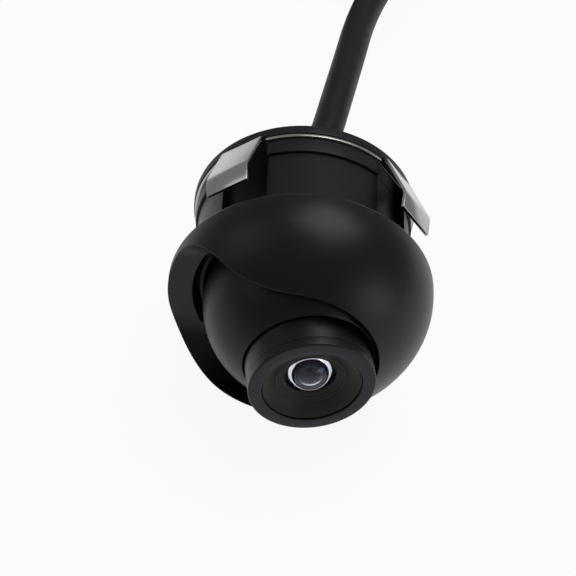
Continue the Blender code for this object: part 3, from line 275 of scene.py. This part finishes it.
lens_glass = glass("glass_coated_lens", "#e4e6f2", 135.0)
inner_glass = glass("glass_coated_inner", "#d9dcf0", 120.0)
filter_glass = glass("glass_infrared_filter", "#bfe6e4", 110.0)
print("glass", lens_glass.name, inner_glass.name, filter_glass.name)

# %% [markdown]
# ## Tools for shapes
#
# Most pieces are turned, as on a lathe: a half outline goes once round an axis. The corners of the outline are
# rounded first, because a real edge always catches a little light. A finished piece has its place in its mesh,
# rides on a body of the solids, stands for the solid that it covers, and prints what it came to.

# %% Outlines, turning and cutting
def rounded(outline, radius, closed=False, steps=4):
    """Outline of (radius, y) points with its corners rounded."""
    points = [Vector(p) for p in outline]
    soft = []
    for i, corner in enumerate(points):
        if not closed and i in (0, len(points) - 1):
            soft.append(corner)
            continue
        before = points[i - 1] - corner
        after = points[(i + 1) % len(points)] - corner
        turn = before.angle(after, math.pi)
        reach = min(radius / math.tan(turn / 2), 0.45 * before.length, 0.45 * after.length)
        if turn > math.radians(155) or reach < 1e-4:
            soft.append(corner)
            continue
        start = corner + before.normalized() * reach
        end = corner + after.normalized() * reach
        for step in range(steps + 1):
            t = step / steps
            soft.append(start * (1 - t) ** 2 + corner * 2 * t * (1 - t) + end * t ** 2)
    return soft


def turned(outline, closed=True, sides=128):
    """Bmesh of an outline of (radius, y) points turned about Y."""
    bm = bmesh.new()
    verts = [bm.verts.new((p[0], p[1], 0.0)) for p in outline]
    edges = [bm.edges.new(pair) for pair in zip(verts, verts[1:])]
    if closed:
        edges.append(bm.edges.new((verts[-1], verts[0])))
    bmesh.ops.spin(bm, geom=verts + edges, cent=(0, 0, 0), axis=(0, 1, 0), angle=math.tau, steps=sides, use_merge=True)
    bmesh.ops.remove_doubles(bm, verts=bm.verts, dist=1e-4)
    bmesh.ops.recalc_face_normals(bm, faces=bm.faces)
    return bm


def carved(bm, tool):
    """Bmesh with a tool's shape taken out of it."""
    pair = []
    for name, shape in (("blank", bm), ("tool", tool)):
        mesh = bpy.data.meshes.new(name)
        bmesh.ops.recalc_face_normals(shape, faces=shape.faces)
        shape.to_mesh(mesh)
        shape.free()
        obj = bpy.data.objects.new(name, mesh)
        bpy.context.scene.collection.objects.link(obj)
        pair.append(obj)
    cut = pair[0].modifiers.new("cut", "BOOLEAN")
    cut.operation = "DIFFERENCE"
    cut.solver = "EXACT"
    cut.object = pair[1]
    result = bmesh.new()
    result.from_object(pair[0], bpy.context.evaluated_depsgraph_get())
    for obj in pair:
        mesh = obj.data
        bpy.data.objects.remove(obj)
        bpy.data.meshes.remove(mesh)
    return result


def settled(name, bm, place, finish, body, nodes, sharp=40):
    """Finished piece: its place goes into its mesh, and it rides on a body and stands for its solids."""
    bmesh.ops.transform(bm, matrix=Matrix.Scale(MM, 4) @ place, verts=bm.verts)
    mesh = bpy.data.meshes.new(name)
    bm.to_mesh(mesh)
    bm.free()
    mesh.materials.append(finish)
    mesh.shade_smooth()
    mesh.set_sharp_from_angle(angle=math.radians(sharp))
    piece = bpy.data.objects.new(name, mesh)
    bpy.context.scene.collection.objects.link(piece)
    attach(piece, body)
    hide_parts(*nodes)
    print(name, len(mesh.polygons), "faces")
    return piece


def ahead(outline):
    """Outline for a piece of the lens, from (radius, distance in front of the ball's middle) points."""
    return [(radius, -front) for radius, front in outline]


def bow(centre, radii, start, end, steps):
    """Points of an ellipse's arc, with angles in degrees."""
    angles = [math.radians(start + (end - start) * i / steps) for i in range(steps + 1)]
    return [(centre[0] + radii[0] * math.cos(a), centre[1] + radii[1] * math.sin(a)) for a in angles]


print("corners of a square rounded to", len(rounded([(1, 0), (2, 0), (2, 1), (1, 1)], 0.1, True)), "points")

# %% [markdown]
# ## The cable
#
# About 0.8 m of round cable leaves the boot, runs back behind the body, sinks to the floor, and lies there folded
# in a hank that is held by a tie, with its plug inside the loops. A cable is one bevelled curve that follows a
# smooth line. The route is the same as the solids', point for point: the lead first, then nine folds in three
# layers, which go inwards on top, outwards below that and inwards again at the bottom, and then the tail.

# %% Route of the cable
CABLE, LAYER = 3.7, 4.15
FLOOR, FLOOR_GAP, TIE_BAND, TIE_GAP = -14.0012, 0.05, 0.5, 0.4
LOW = FLOOR + FLOOR_GAP + TIE_BAND + TIE_GAP + CABLE / 2
BOOT_END = Vector((0.5006, 18.2628, 0.0))
LEAD = (
    (0.0, 0.0, 0.0), (0.77, 3.62, 0.0), (1.73, 8.0, 0.025), (2.8, 14.0, 0.12), (4.15, 22.0, 0.39),
    (5.5, 30.0, 0.73), (7.4, 37.0, 0.93), (10.3, 44.0, 1.04), (13.1, 50.0, 1.05), (15.2, 55.0, 1.03),
    (16.4, 59.0, 1.01), (16.85, 62.5, 1.0), (16.9, 68.0, 1.0),
)


def through(points, between):
    """Points on a smooth curve through a route."""
    points = [Vector(p) for p in points]
    padded = [2 * points[0] - points[1], *points, 2 * points[-1] - points[-2]]
    line = []
    for a, b, c, d in zip(padded, padded[1:], padded[2:], padded[3:]):
        for i in range(between):
            t = i / between
            line.append(0.5 * (2 * b + (c - a) * t + (2 * a - 5 * b + 4 * c - d) * t ** 2
                               + (3 * b - a - 3 * c + d) * t ** 3))
    return line + [points[-1]]


def eased(place, start, end):
    """Smooth step from 0 to 1 between two places."""
    share = min(1.0, max(0.0, (place - start) / (end - start)))
    return share * share * (3 - 2 * share)


route = through([(BOOT_END.x + x, BOOT_END.y + y, (LOW + 2 * LAYER) * share) for x, y, share in LEAD], 3)
print("lead", len(route), "points, ends at", tuple(round(c, 2) for c in route[-1]))

# %% [markdown]
# A fold is a straight run and half a turn. The half-width of the loops shrinks by one cable each turn on the way in
# and grows again on the way out. The cable steps down a layer in the fourth fold and in the seventh, slowly enough to
# keep clear of the loops beside it. The last half turn keeps the tightest radius, three cables wide, and leads the
# end back inside the loops.

# %% Hank and tail
FOLD, RUN, TURNS, HALF = 11.2, 34.0, 1.5, 24
widest = FOLD + LAYER * TURNS
middle = Vector((route[-1].x - widest, route[-1].y + 0.3))


def half_width(turn):
    """Half-width of the hank at a number of turns from its start."""
    layer = min(2, int(turn / TURNS))
    done = turn - layer * TURNS
    return widest - LAYER * (TURNS - done if layer == 1 else done)


def laid(x, y, fold, run, bend):
    """Point of the hank, at the height of its layer."""
    sunk = eased(run * RUN + bend * FOLD * math.pi, RUN - 8, RUN + 16) if fold == 3 else float(fold > 3)
    sunk += eased(run, 0, 1) if fold == 6 else float(fold > 6)
    return Vector((middle.x + x, middle.y + y, LOW + LAYER * (2 - sunk)))


for fold in range(9):
    away, width = fold % 2 == 0, half_width(fold / 2)
    for run in [i / 10 for i in range(10)]:
        route.append(laid(width if away else -width, RUN * (run if away else 1 - run), fold, run, 0))
    for bend in [i / HALF for i in range(HALF + (fold == 8))]:
        radius = FOLD if fold == 8 else half_width((fold + bend) / 2)
        angle = math.pi * (fold + bend)
        across = radius * math.cos(angle) + (width - FOLD if fold == 8 else 0)
        route.append(laid(across, radius * math.sin(angle) + (RUN if away else 0), fold, 1, bend))
TAIL, GRIP = 12.0, 4.2
start = route[-1] + Vector((0, -0.3, 0))
end = Vector((start.x, start.y - TAIL, FLOOR + FLOOR_GAP + GRIP))
for share in [i / 12 for i in range(13)]:
    route.append(Vector((start.x, start.y - TAIL * share, start.z + (end.z - start.z) * eased(share, 0, 1))))

# %% [markdown]
# The curve gets a round bevel of the cable's own radius. It rides on the body that holds the boot. The plug goes
# with it, because it is on it wherever it is laid.

# %% Cable
strand = bpy.data.curves.new("camera_cable", "CURVE")
strand.dimensions = "3D"
strand.bevel_depth = CABLE / 2 * MM
strand.bevel_resolution = 8
strand.use_fill_caps = True
spline = strand.splines.new("POLY")
spline.points.add(len(route) - 1)
for knot, point in zip(spline.points, route):
    knot.co = (*((dome_middle + point) * MM), 1.0)
spline.use_smooth = True
strand.materials.append(cable_jacket)
cable = bpy.data.objects.new("camera_cable", strand)
bpy.context.scene.collection.objects.link(cable)
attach(cable, "mount_body")
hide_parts("cable_lead", "cable_hank", "cable_tail")
print("cable leaves at", tuple((dome_middle + BOOT_END) * MM))

# %% [markdown]
# ## The plug
#
# The plug is a moulded grip with a tapered end, where the cable goes in, and a thinner sleeve around four
# brass pins. Grips have ribs, so the outline has three shallow grooves. It lies on the floor inside the hank and
# points back along the cable, so its own axis is the body's axis turned half round.

# %% Plug
on_plug = on_body @ Matrix.Translation((end.x, end.y - 0.3, end.z)) @ Matrix.Rotation(math.pi, 4, "Z")
grip = [(0.0, 0.0), (2.3, 0.0), (2.6, 0.3), (3.6, 4.0), (GRIP, 4.6)]
for y in (6.4, 8.0, 9.6):
    grip += [(GRIP, y), (3.85, y + 0.25), (3.85, y + 0.75), (GRIP, y + 1.0)]
grip += [(GRIP, 14.7), (3.9, 15.0), (3.8, 15.0), (3.8, 13.0), (0.0, 13.0)]
plug_grip = settled("plug_grip", turned(rounded(grip, 0.2), False, 64), on_plug, plug_plastic, "mount_body",
                    ["connector_body"])
sleeve = [(3.0, 13.2), (3.6, 13.2), (3.6, 20.5), (3.0, 20.5)]
plug_sleeve = settled("plug_sleeve", turned(rounded(sleeve, 0.2, True), True, 64), on_plug, plug_plastic,
                      "mount_body", ["connector_shell"])

# %% [markdown]
# ## The dome
#
# The dome is a flattened ball, cut off behind its widest circle, with a wide slot from its middle to one side
# in which the lens ball tilts. It is turned as a shell first, with the hollow for the ball inside it. Then the
# slot is taken out with a block whose far end is round and whose lower corners are rounded, which leaves the
# curved lip that sweeps across the front.

# %% Dome
DOME_R, DOME_FRONT, DOME_RIM, HOLLOW, BALL_AHEAD = 14.0012, 11.4988, 1.33, 10.5, 1.5
MOUTH, RIM_ROUND = 7.825, 0.6
front_end = 90 + math.degrees(math.asin(MOUTH / DOME_R))
shell = [(-r, -y) for r, y in bow((0, 0), (DOME_R, DOME_FRONT), front_end, 180, 56)]
shell += bow((DOME_R - RIM_ROUND, DOME_RIM - RIM_ROUND), (RIM_ROUND, RIM_ROUND), 0, 90, 8)
SLOT_HALF, SLOT_END, SLOT_FLOOR, SLOT_CORNER = 9.175, -0.86, 0.1, 5.0
SLOT_REACH, SLOT_DEPTH = 20.0, 30.0
ledge = -SLOT_FLOOR - 0.05
shell += [(12.371, DOME_RIM), (12.371, DOME_RIM - 0.3), (11.021, DOME_RIM - 0.3), (11.021, 0.38), (11.451, ledge)]
shell += bow((0, -BALL_AHEAD), (HOLLOW, HOLLOW), math.degrees(math.asin((ledge + BALL_AHEAD) / HOLLOW)),
             -math.degrees(math.acos(MOUTH / HOLLOW)), 32)
tool = bmesh.new()
bmesh.ops.create_circle(tool, segments=128, radius=SLOT_HALF, cap_ends=True,
                        matrix=Matrix.Translation((SLOT_END, -SLOT_FLOOR, 0)) @ Matrix.Rotation(math.pi / 2, 4, "X"))
for vert in tool.verts:
    if vert.co.x < SLOT_END - 1e-6:
        side = math.copysign(SLOT_HALF, vert.co.z) if abs(vert.co.z) > 1e-6 else 0.0
        vert.co = (SLOT_END - SLOT_REACH, vert.co.y, side)
bmesh.ops.remove_doubles(tool, verts=tool.verts, dist=1e-4)
wall = bmesh.ops.extrude_face_region(tool, geom=tool.faces[:])["geom"]
bmesh.ops.translate(tool, vec=(0, -SLOT_DEPTH, 0), verts=[v for v in wall if isinstance(v, bmesh.types.BMVert)])
foot = [e for e in tool.edges if all(abs(v.co.y + SLOT_FLOOR) < 1e-6 for v in e.verts)]
bmesh.ops.bevel(tool, geom=foot, offset=SLOT_CORNER, segments=16, profile=0.5, affect="EDGES", material=-1)
dome = carved(turned(shell, True, 192), tool)
settled("swivel_dome_shell", dome, on_body, dome_plastic, "swivel_dome", ["dome_housing"], 30)

# %% [markdown]
# ## The lens ball
#
# The ball's front shell is a thin sphere with a round port for the barrel. It is turned about the lens's own
# axis, so the port comes out true.

# %% Lens ball
BALL, BALL_IN, PORT, BALL_BACK = 10.2, 8.7, 6.77, 2
outer_ends, inner_ends = ([-math.degrees(math.acos(PORT / radius)), math.degrees(math.asin(BALL_BACK / radius))]
                          for radius in (BALL, BALL_IN))
ball = bow((0, 0), (BALL, BALL), *outer_ends, 40) + bow((0, 0), (BALL_IN, BALL_IN), *inner_ends[::-1], 24)
settled("lens_ball_shell", turned(ball), on_ball, ball_plastic, "lens_ball", ["ball_front"])

# %% [markdown]
# ## The barrel and its ring
#
# A round sleeve stands out of the ball, and a bezel ring closes its front. The two meet in a joint that is as thin
# as a hair. Inside the ring a dish slopes down to the glass, with a few shallow grooves near the lens that keep
# stray light off it.

# %% Barrel, ring and dish
BARREL, BARREL_FRONT, RING_FRONT = 6.57, 10.047, 11.197
MEET, HAIR, EDGE, LIP = BARREL_FRONT + 0.1, 0.004, 0.18, 0.1
sleeve = [(5.3, 4.033), (6.95, 4.033), (6.95, 4.933), (BARREL, 4.933), (BARREL, MEET - HAIR), (5.3, MEET - HAIR)]
settled("lens_sleeve", turned(rounded(ahead(sleeve), HAIR, True)), on_ball, barrel_plastic, "lens_ball",
        ["lens_barrel"])
bezel = [(5.16, MEET + HAIR), (BARREL, MEET + HAIR),
         *bow((BARREL - EDGE, RING_FRONT - EDGE), (EDGE, EDGE), 0, 90, 6),
         *bow((5.16 + LIP, RING_FRONT - LIP), (LIP, LIP), 90, 180, 5)]
settled("lens_bezel", turned(ahead(bezel)), on_ball, barrel_plastic, "lens_ball", ["lens_ring"])
DISH, DISH_BACK, DISH_FRONT, DISH_IN, DISH_FLOOR = 5.13, 9.397, 10.997, 2.62, 9.6
slope = (DISH_FRONT - DISH_FLOOR) / (DISH - 0.12 - DISH_IN)
dish = [(DISH_IN, DISH_BACK), (DISH, DISH_BACK), (DISH, DISH_FRONT), (DISH - 0.12, DISH_FRONT)]
for edge in (3.6, 3.3, 3.0):
    level_at = DISH_FLOOR + (edge - DISH_IN) * slope
    dish += [(edge + 0.06, level_at + 0.06 * slope), (edge, level_at - 0.05), (edge - 0.05, level_at - 0.05 * slope)]
dish.append((DISH_IN, DISH_FLOOR))
settled("lens_dish", turned(rounded(ahead(dish), 0.04, True, 2)), on_ball, dish_plastic, "lens_ball",
        ["lens_retainer"])

# %% [markdown]
# ## The front lens
#
# The front glass of a wide lens is a steep dome that is hollow behind, with a flat rim. Light that comes in near
# its upper edge can't leave through the flat rim, and is thrown forward and down to the floor instead, so that
# edge shows a bright crescent. The thin gap behind the rim is what makes this work, so the glass and the plate
# behind it are separate pieces. The plate is the blackened front of the lens's inner barrel, with the small round
# opening of the pupil.

# %% Front lens
GLASS, GLASS_FRONT, GLASS_BACK, CROWN = 2.25, 9.197, 9.0, 1.6
HOLLOW_R, HOLLOW_DEEP = 1.6, 1.2
hollow = [(0.0, GLASS_BACK + HOLLOW_DEEP)] + bow((0, GLASS_BACK), (HOLLOW_R, HOLLOW_DEEP), 90, 0, 32)[1:]
crown = bow((0, GLASS_FRONT), (GLASS, CROWN), 0, 90, 32)[:-1] + [(0.0, GLASS_FRONT + CROWN)]
lens = ahead(hollow + [(GLASS, GLASS_BACK)] + crown)
settled("front_lens", turned(lens, False, 96), on_ball, lens_glass, "lens_ball", ["front_element"])
iris = [(0.45, 8.5), (3.6, 8.5), (3.6, 8.9), (0.6, 8.9), (0.45, 8.8)]
settled("lens_iris", turned(ahead(iris), True, 96), on_ball, iris_black, "lens_ball", [])

# %% [markdown]
# ## The neck
#
# Behind the dome the body narrows to a neck with a collar at its root. Behind each spring the neck has a flat
# recess, into which the spring folds when the camera is pushed through its hole. The neck and the band behind it
# are turned, and four blocks cut the recesses.

# %% Neck and band
def around(angle):
    """Turn of the body's pieces from +X towards +Z, in degrees."""
    return Matrix.Rotation(-math.radians(angle), 4, "Y")


def blocks(size, middle, angles):
    """Bmesh of equal blocks set round the body's axis."""
    bm = bmesh.new()
    for angle in angles:
        made = bmesh.ops.create_cube(bm, size=1.0)["verts"]
        bmesh.ops.scale(bm, vec=size, verts=made)
        bmesh.ops.translate(bm, vec=middle, verts=made)
        bmesh.ops.rotate(bm, cent=(0, 0, 0), matrix=around(angle).to_3x3(), verts=made)
    return bm


spring_angles = [38.5 + 90 * i for i in range(4)]
FLAT, FLAT_DEEP, FLAT_WIDE, COLLAR_BACK, BODY_BACK = 10.049, 2.2, 5.5, 3.28, 13.6


def recesses():
    """Blocks that cut the flat behind each spring."""
    middle = (FLAT + FLAT_DEEP / 2, (BODY_BACK + COLLAR_BACK) / 2, 0)
    return blocks((FLAT_DEEP, BODY_BACK - COLLAR_BACK, FLAT_WIDE), middle, spring_angles)


neck = [(11.021, 1.63), (12.071, 1.63), (12.071, COLLAR_BACK), (11.419, COLLAR_BACK), (11.419, 9.77), (8.899, 9.77),
        (8.899, 4.23), (11.621, 2.93), (11.621, 2.03), (11.021, 2.03)]
settled("body_neck", carved(turned(rounded(neck, 0.12, True)), recesses()), on_body, neck_plastic, "mount_body",
        ["neck_housing"], 30)
band = [(7.899, 8.4), (8.699, 8.4), (8.699, 9.8), (11.699, 9.8), (11.699, 11.78), (3.2, 11.78), (3.2, 10.4),
        (7.899, 10.4)]
settled("body_band", carved(turned(rounded(band, 0.12, True)), recesses()), on_body, neck_plastic, "mount_body",
        ["rear_housing"], 30)

# %% [markdown]
# ## The clip
#
# The clip is one pressing in the real camera: a thin ring plate with four springs bent forward from its edge.
# Here the springs are pieces of their own, so that each can flex. The plate is turned and notched where the
# springs stand. A spring is a strip with a short shoulder, a long straight run outwards and a bent-in tip, and is
# extruded from its side view.

# %% Clip plate and springs
plate = [(5.2, 11.8), (11.949, 11.8), (11.949, 12.2), (5.2, 12.2)]
notches = blocks((0.95, 1.6, FLAT_WIDE), (12.249 - 0.475, 12.0, 0), spring_angles)
settled("clip_ring", carved(turned(rounded(plate, 0.1, True)), notches), on_body, spring_steel, "mount_body",
        ["clip_plate"], 30)


def bent(corner, before, after, radius, steps=8):
    """Points of a bend between two straight runs of a strip."""
    one, two = (before - corner).normalized(), (after - corner).normalized()
    reach = radius / math.tan(one.angle(two) / 2)
    first, last = corner + one * reach, corner + two * reach
    bend = [i / steps for i in range(steps + 1)]
    return [first * (1 - t) ** 2 + corner * 2 * t * (1 - t) + last * t ** 2 for t in bend]


root, shoulder, elbow, tip = (Vector(p) for p in ((0, 0), (0.5, 0), (2.75, -6.0), (2.5, -8.2)))
SPRING_WIDE, SPRING_HALF = 5.0, 0.2
strip = [root, *bent(shoulder, root, elbow, 0.2), *bent(elbow, shoulder, tip, 2.0), tip]
runs = [(b - a).normalized() for a, b in zip([root, *strip[:-1]], [*strip[1:], tip])]
outside, inside = ([p + Vector((-r.y, r.x)) * half for p, r in zip(strip, runs)]
                   for half in (SPRING_HALF, -SPRING_HALF))
for number, angle in enumerate(spring_angles, 1):
    bm = bmesh.new()
    rows = [[bm.verts.new((p.x, p.y, -SPRING_WIDE / 2)) for p in side] for side in (outside, inside)]
    faces = [bm.faces.new((a, b, d, c)) for a, b, c, d in zip(rows[0], rows[0][1:], rows[1], rows[1][1:])]
    sides = bmesh.ops.extrude_face_region(bm, geom=faces)["geom"]
    bmesh.ops.translate(bm, vec=(0, 0, SPRING_WIDE), verts=[v for v in sides if isinstance(v, bmesh.types.BMVert)])
    bmesh.ops.recalc_face_normals(bm, faces=bm.faces)
    corners = [e for e in bm.edges if e.calc_face_angle(0.0) > math.radians(60)]
    bmesh.ops.bevel(bm, geom=corners, offset=0.07, segments=2, profile=0.5, affect="EDGES", material=-1)
    seat = on_body @ around(angle) @ Matrix.Translation((11.499, 12.0, 0))
    leg = f"clip_leg_{number}"
    settled(f"clip_spring_{number}", bm, seat, spring_steel, leg, [leg], 30)

# %% [markdown]
# ## The rear cap
#
# A flat disc closes the body, held by four screws in sunk holes. The cable's boot comes out of its middle. The
# holes are cut with turned plugs of their own shape, and each screw head gets a cross for the driver.

# %% Cap
def ringed(outline, radius, angles, sides=32):
    """Bmesh of equal turned shapes on a circle round the body's axis."""
    bm = bmesh.new()
    for angle in angles:
        one = turned(outline, False, sides)
        bmesh.ops.transform(one, matrix=around(angle) @ Matrix.Translation((radius, 0, 0)), verts=one.verts)
        mesh = bpy.data.meshes.new("one")
        one.to_mesh(mesh)
        one.free()
        bm.from_mesh(mesh)
        bpy.data.meshes.remove(mesh)
    return bm


screw_angles = [83.5 + 90 * i for i in range(4)]
SCREW_CIRCLE = 6.799
cap = [(3.4, 12.22), (12.049, 12.22), (12.049, 13.1), *bow((11.549, 13.1), (0.5, 0.5), 0, 90, 8)[1:], (3.4, 13.6)]
sink = [(0.0, 12.0), (0.95, 12.0), (0.95, 12.9), (1.7, 12.9), (1.7, 15.0), (0.0, 15.0)]
sinks = ringed(sink, SCREW_CIRCLE, screw_angles)
settled("end_cap", carved(turned(rounded(cap, 0.1, True)), sinks), on_body, neck_plastic, "mount_body",
        ["rear_cap"], 30)
screw = [(0.0, 10.0), (0.6, 10.0), (0.75, 10.2), (0.75, 13.1), (1.5, 13.1), (1.5, 13.35),
         *bow((0.9, 13.35), (0.6, 0.25), 0, 90, 5)[1:], (0.0, 13.6)]
for number, angle in enumerate(screw_angles, 1):
    head = turned(rounded(screw, 0.06), False, 32)
    for size in ((1.7, 0.7, 0.32), (0.32, 0.7, 1.7)):
        bar = bmesh.new()
        bmesh.ops.create_cube(bar, size=1.0)
        bmesh.ops.scale(bar, vec=size, verts=bar.verts)
        bmesh.ops.translate(bar, vec=(0, 13.65, 0), verts=bar.verts)
        head = carved(head, bar)
    seat = on_body @ around(angle) @ Matrix.Translation((SCREW_CIRCLE, 0, 0)) @ around(17 * number)
    settled(f"cap_screw_head_{number}", head, seat, screw_steel, "mount_body", [f"cap_screw_{number}"],
            30)

# %% [markdown]
# ## The boot
#
# A ribbed rubber boot holds the cable where it leaves the cap, so that it can't kink. It is turned straight
# and then bent to the side along the same even curve as the cable takes.

# %% Boot
BOOT_FRONT, BOOT_LENGTH, BOOT_LEAN = 13.8, 4.2, math.radians(12.0)
boot = [(0.0, 11.8), (4.99, 11.8), (4.99, 12.2), (3.2, 12.2), (3.2, BOOT_FRONT)]
run = BOOT_LENGTH / 5
for i in range(5):
    radius = 3.9 - 1.2 * (i + 0.5) / 5 - 0.45 * (i % 2)
    boot += [(radius, BOOT_FRONT + run * i), (radius, BOOT_FRONT + run * (i + 1))]
boot.append((0.0, BOOT_FRONT + BOOT_LENGTH))
bm = turned(rounded(boot, 0.16), False, 64)
bend = BOOT_LENGTH / BOOT_LEAN
for vert in bm.verts:
    angle = BOOT_LEAN * max(0.0, vert.co.y - BOOT_FRONT) / BOOT_LENGTH
    line = Vector((bend * (1 - math.cos(angle)), min(vert.co.y, BOOT_FRONT) + bend * math.sin(angle), 0.0))
    vert.co = line + Vector((math.cos(angle), -math.sin(angle), 0.0)) * vert.co.x + Vector((0, 0, vert.co.z))
settled("cable_boot", bm, on_body, boot_rubber, "mount_body", ["strain_relief"])

# %% [markdown]
# ## Finishes of the pieces inside
#
# What is inside the ball and the neck keeps the solids' own shapes, because it is hidden or only just seen through
# the lens. Each still gets the finish of what it is: laminate for the board, resin for the chips, a pale
# socket, steel, rubber and glass.

# %% Board, chips and socket
board_laminate = moulded("laminate_board_green", "#1f5a34", "#276b3f", (0.4, 0.5), 0.4)
chip_resin = moulded("epoxy_chip_black", "#161617", "#1d1d1e", (0.5, 0.6), 0.2)
socket_plastic = moulded("nylon_socket_ivory", "#d8d2c2", "#e2dccc", (0.45, 0.55), 0.4)
inside = {
    hidden_plastic: ["swivel_ring", "lens_tube", "spacer_ring", "aperture_stop", "lens_holder"],
    ball_plastic: ["ball_rear"],
    seal_rubber: ["ball_seal", "cap_seal"],
    pin_steel: ["pivot_pin_upper", "pivot_pin_lower", "crystal", "filter_capacitor"],
    screw_steel: ["board_screw_1", "board_screw_2"],
    inner_glass: ["middle_element", "rear_element"],
    filter_glass: ["ir_filter"],
    board_laminate: ["sensor_board"],
    chip_resin: ["image_sensor", "video_chip"],
    socket_plastic: ["wire_socket"],
    wire_jacket: ["wire_tail", "wire_loop"],
    tie_nylon: ["cable_tie"],
    plug_plastic: ["connector_insert"],
    contact_brass: [f"connector_pin_{i}" for i in range(1, 5)],
}
for finish, names in inside.items():
    for name in names:
        mesh = frame["nodes"][name].data
        mesh.materials.clear()
        mesh.materials.append(finish)
print(sum(len(names) for names in inside.values()), "solids finished as they are")

# %% [markdown]
# ## Floor and light
#
# The picture has a plain white ground. The floor is white to the viewer. To what reflects it, the floor's glow is a
# painted pool of light: white near a spot a little to the right of the dome and fading to grey further off, so a
# shiny black dome shows a painted bright edge where it sees the pool and a dark front where it sees the grey. The pool
# is painted a little to the right, as that side of the dome is the lighter one. A large soft lamp hangs above and
# behind, a weaker one stands on the right in front, and the weakest hangs on the left.

# %% Floor and surroundings
def either(tree, one, other):
    """Node that is 1 for a ray that is of either kind."""
    return add(tree, "ShaderNodeMath", {0: one, 1: other}, operation="ADD", use_clamp=True)


floor_white, tree = finish_called("floor_white")
path = add(tree, "ShaderNodeLightPath")
place = add(tree, "ShaderNodeTexCoord").outputs["Object"]
# Painted pool of light: for reflections the floor glows at 1 near a spot 70 mm right of the floor's middle and at 0.4
# beyond 0.3 m.
away = add(tree, "ShaderNodeVectorMath", {0: place, 1: (0.07, 0.02, 0)}, operation="DISTANCE")
painted_glow_pool = add(tree, "ShaderNodeMapRange", {"Value": away.outputs["Value"], "From Min": 0.05, "From Max": 0.3,
                                        "To Min": 1.0, "To Max": 0.4}, interpolation_type="SMOOTHSTEP")
shown = either(tree, path.outputs["Is Glossy Ray"], path.outputs["Is Transmission Ray"])
strength = add(tree, "ShaderNodeMix", {"Factor": shown.outputs[0], "A": 1.0, "B": painted_glow_pool.outputs["Result"]})
seen = either(tree, path.outputs["Is Camera Ray"], shown.outputs[0])
share = add(tree, "ShaderNodeMath", {0: seen.outputs[0], 1: 0.92}, operation="MULTIPLY")
matt = add(tree, "ShaderNodeBsdfDiffuse", {"Color": linear("#e8e8e8")})
glow = add(tree, "ShaderNodeEmission", {"Color": linear("#ffffff"), "Strength": strength.outputs["Result"]})
blend = add(tree, "ShaderNodeMixShader", {0: share.outputs[0], 1: matt.outputs[0], 2: glow.outputs[0]})
add(tree, "ShaderNodeOutputMaterial", {"Surface": blend.outputs[0]})
bm = bmesh.new()
bmesh.ops.create_grid(bm, x_segments=1, y_segments=1, size=3.0)
mesh = bpy.data.meshes.new("floor")
bm.to_mesh(mesh)
bm.free()
mesh.materials.append(floor_white)
floor = bpy.data.objects.new("floor", mesh)
bpy.context.scene.collection.objects.link(floor)
world = bpy.data.worlds.new("studio")
bpy.context.scene.world = world
world.use_nodes = True
tree = world.node_tree
tree.nodes.clear()
path = add(tree, "ShaderNodeLightPath")
seen = either(tree, path.outputs["Is Camera Ray"], path.outputs["Is Transmission Ray"])
level_of = add(tree, "ShaderNodeMapRange", {"Value": seen.outputs[0], "To Min": 0.33, "To Max": 1.0})
sky = add(tree, "ShaderNodeBackground", {"Color": linear("#ffffff"), "Strength": level_of.outputs["Result"]})
add(tree, "ShaderNodeOutputWorld", {"Surface": sky.outputs[0]})
print("floor", floor.name, "world", world.name)

# %% Lamps
def lamp(name, place, size, watts):
    """Soft square lamp that faces the dome; its place is in mm from the dome's middle."""
    light = bpy.data.lights.new(name, "AREA")
    light.shape = "SQUARE"
    light.size = size
    light.energy = watts
    obj = bpy.data.objects.new(name, light)
    place = Vector(place)
    facing = place.to_track_quat("Z", "Y").to_matrix().to_4x4()
    obj.matrix_world = Matrix.Translation((dome_middle + place) * MM) @ facing
    bpy.context.scene.collection.objects.link(obj)
    return obj


lamp("overhead", (150, 170, 560), 0.4, 1.7)
lamp("right_side", (500, -300, 90), 0.3, 0.6)
lamp("left_side", (-450, 30, 390), 0.35, 0.3)
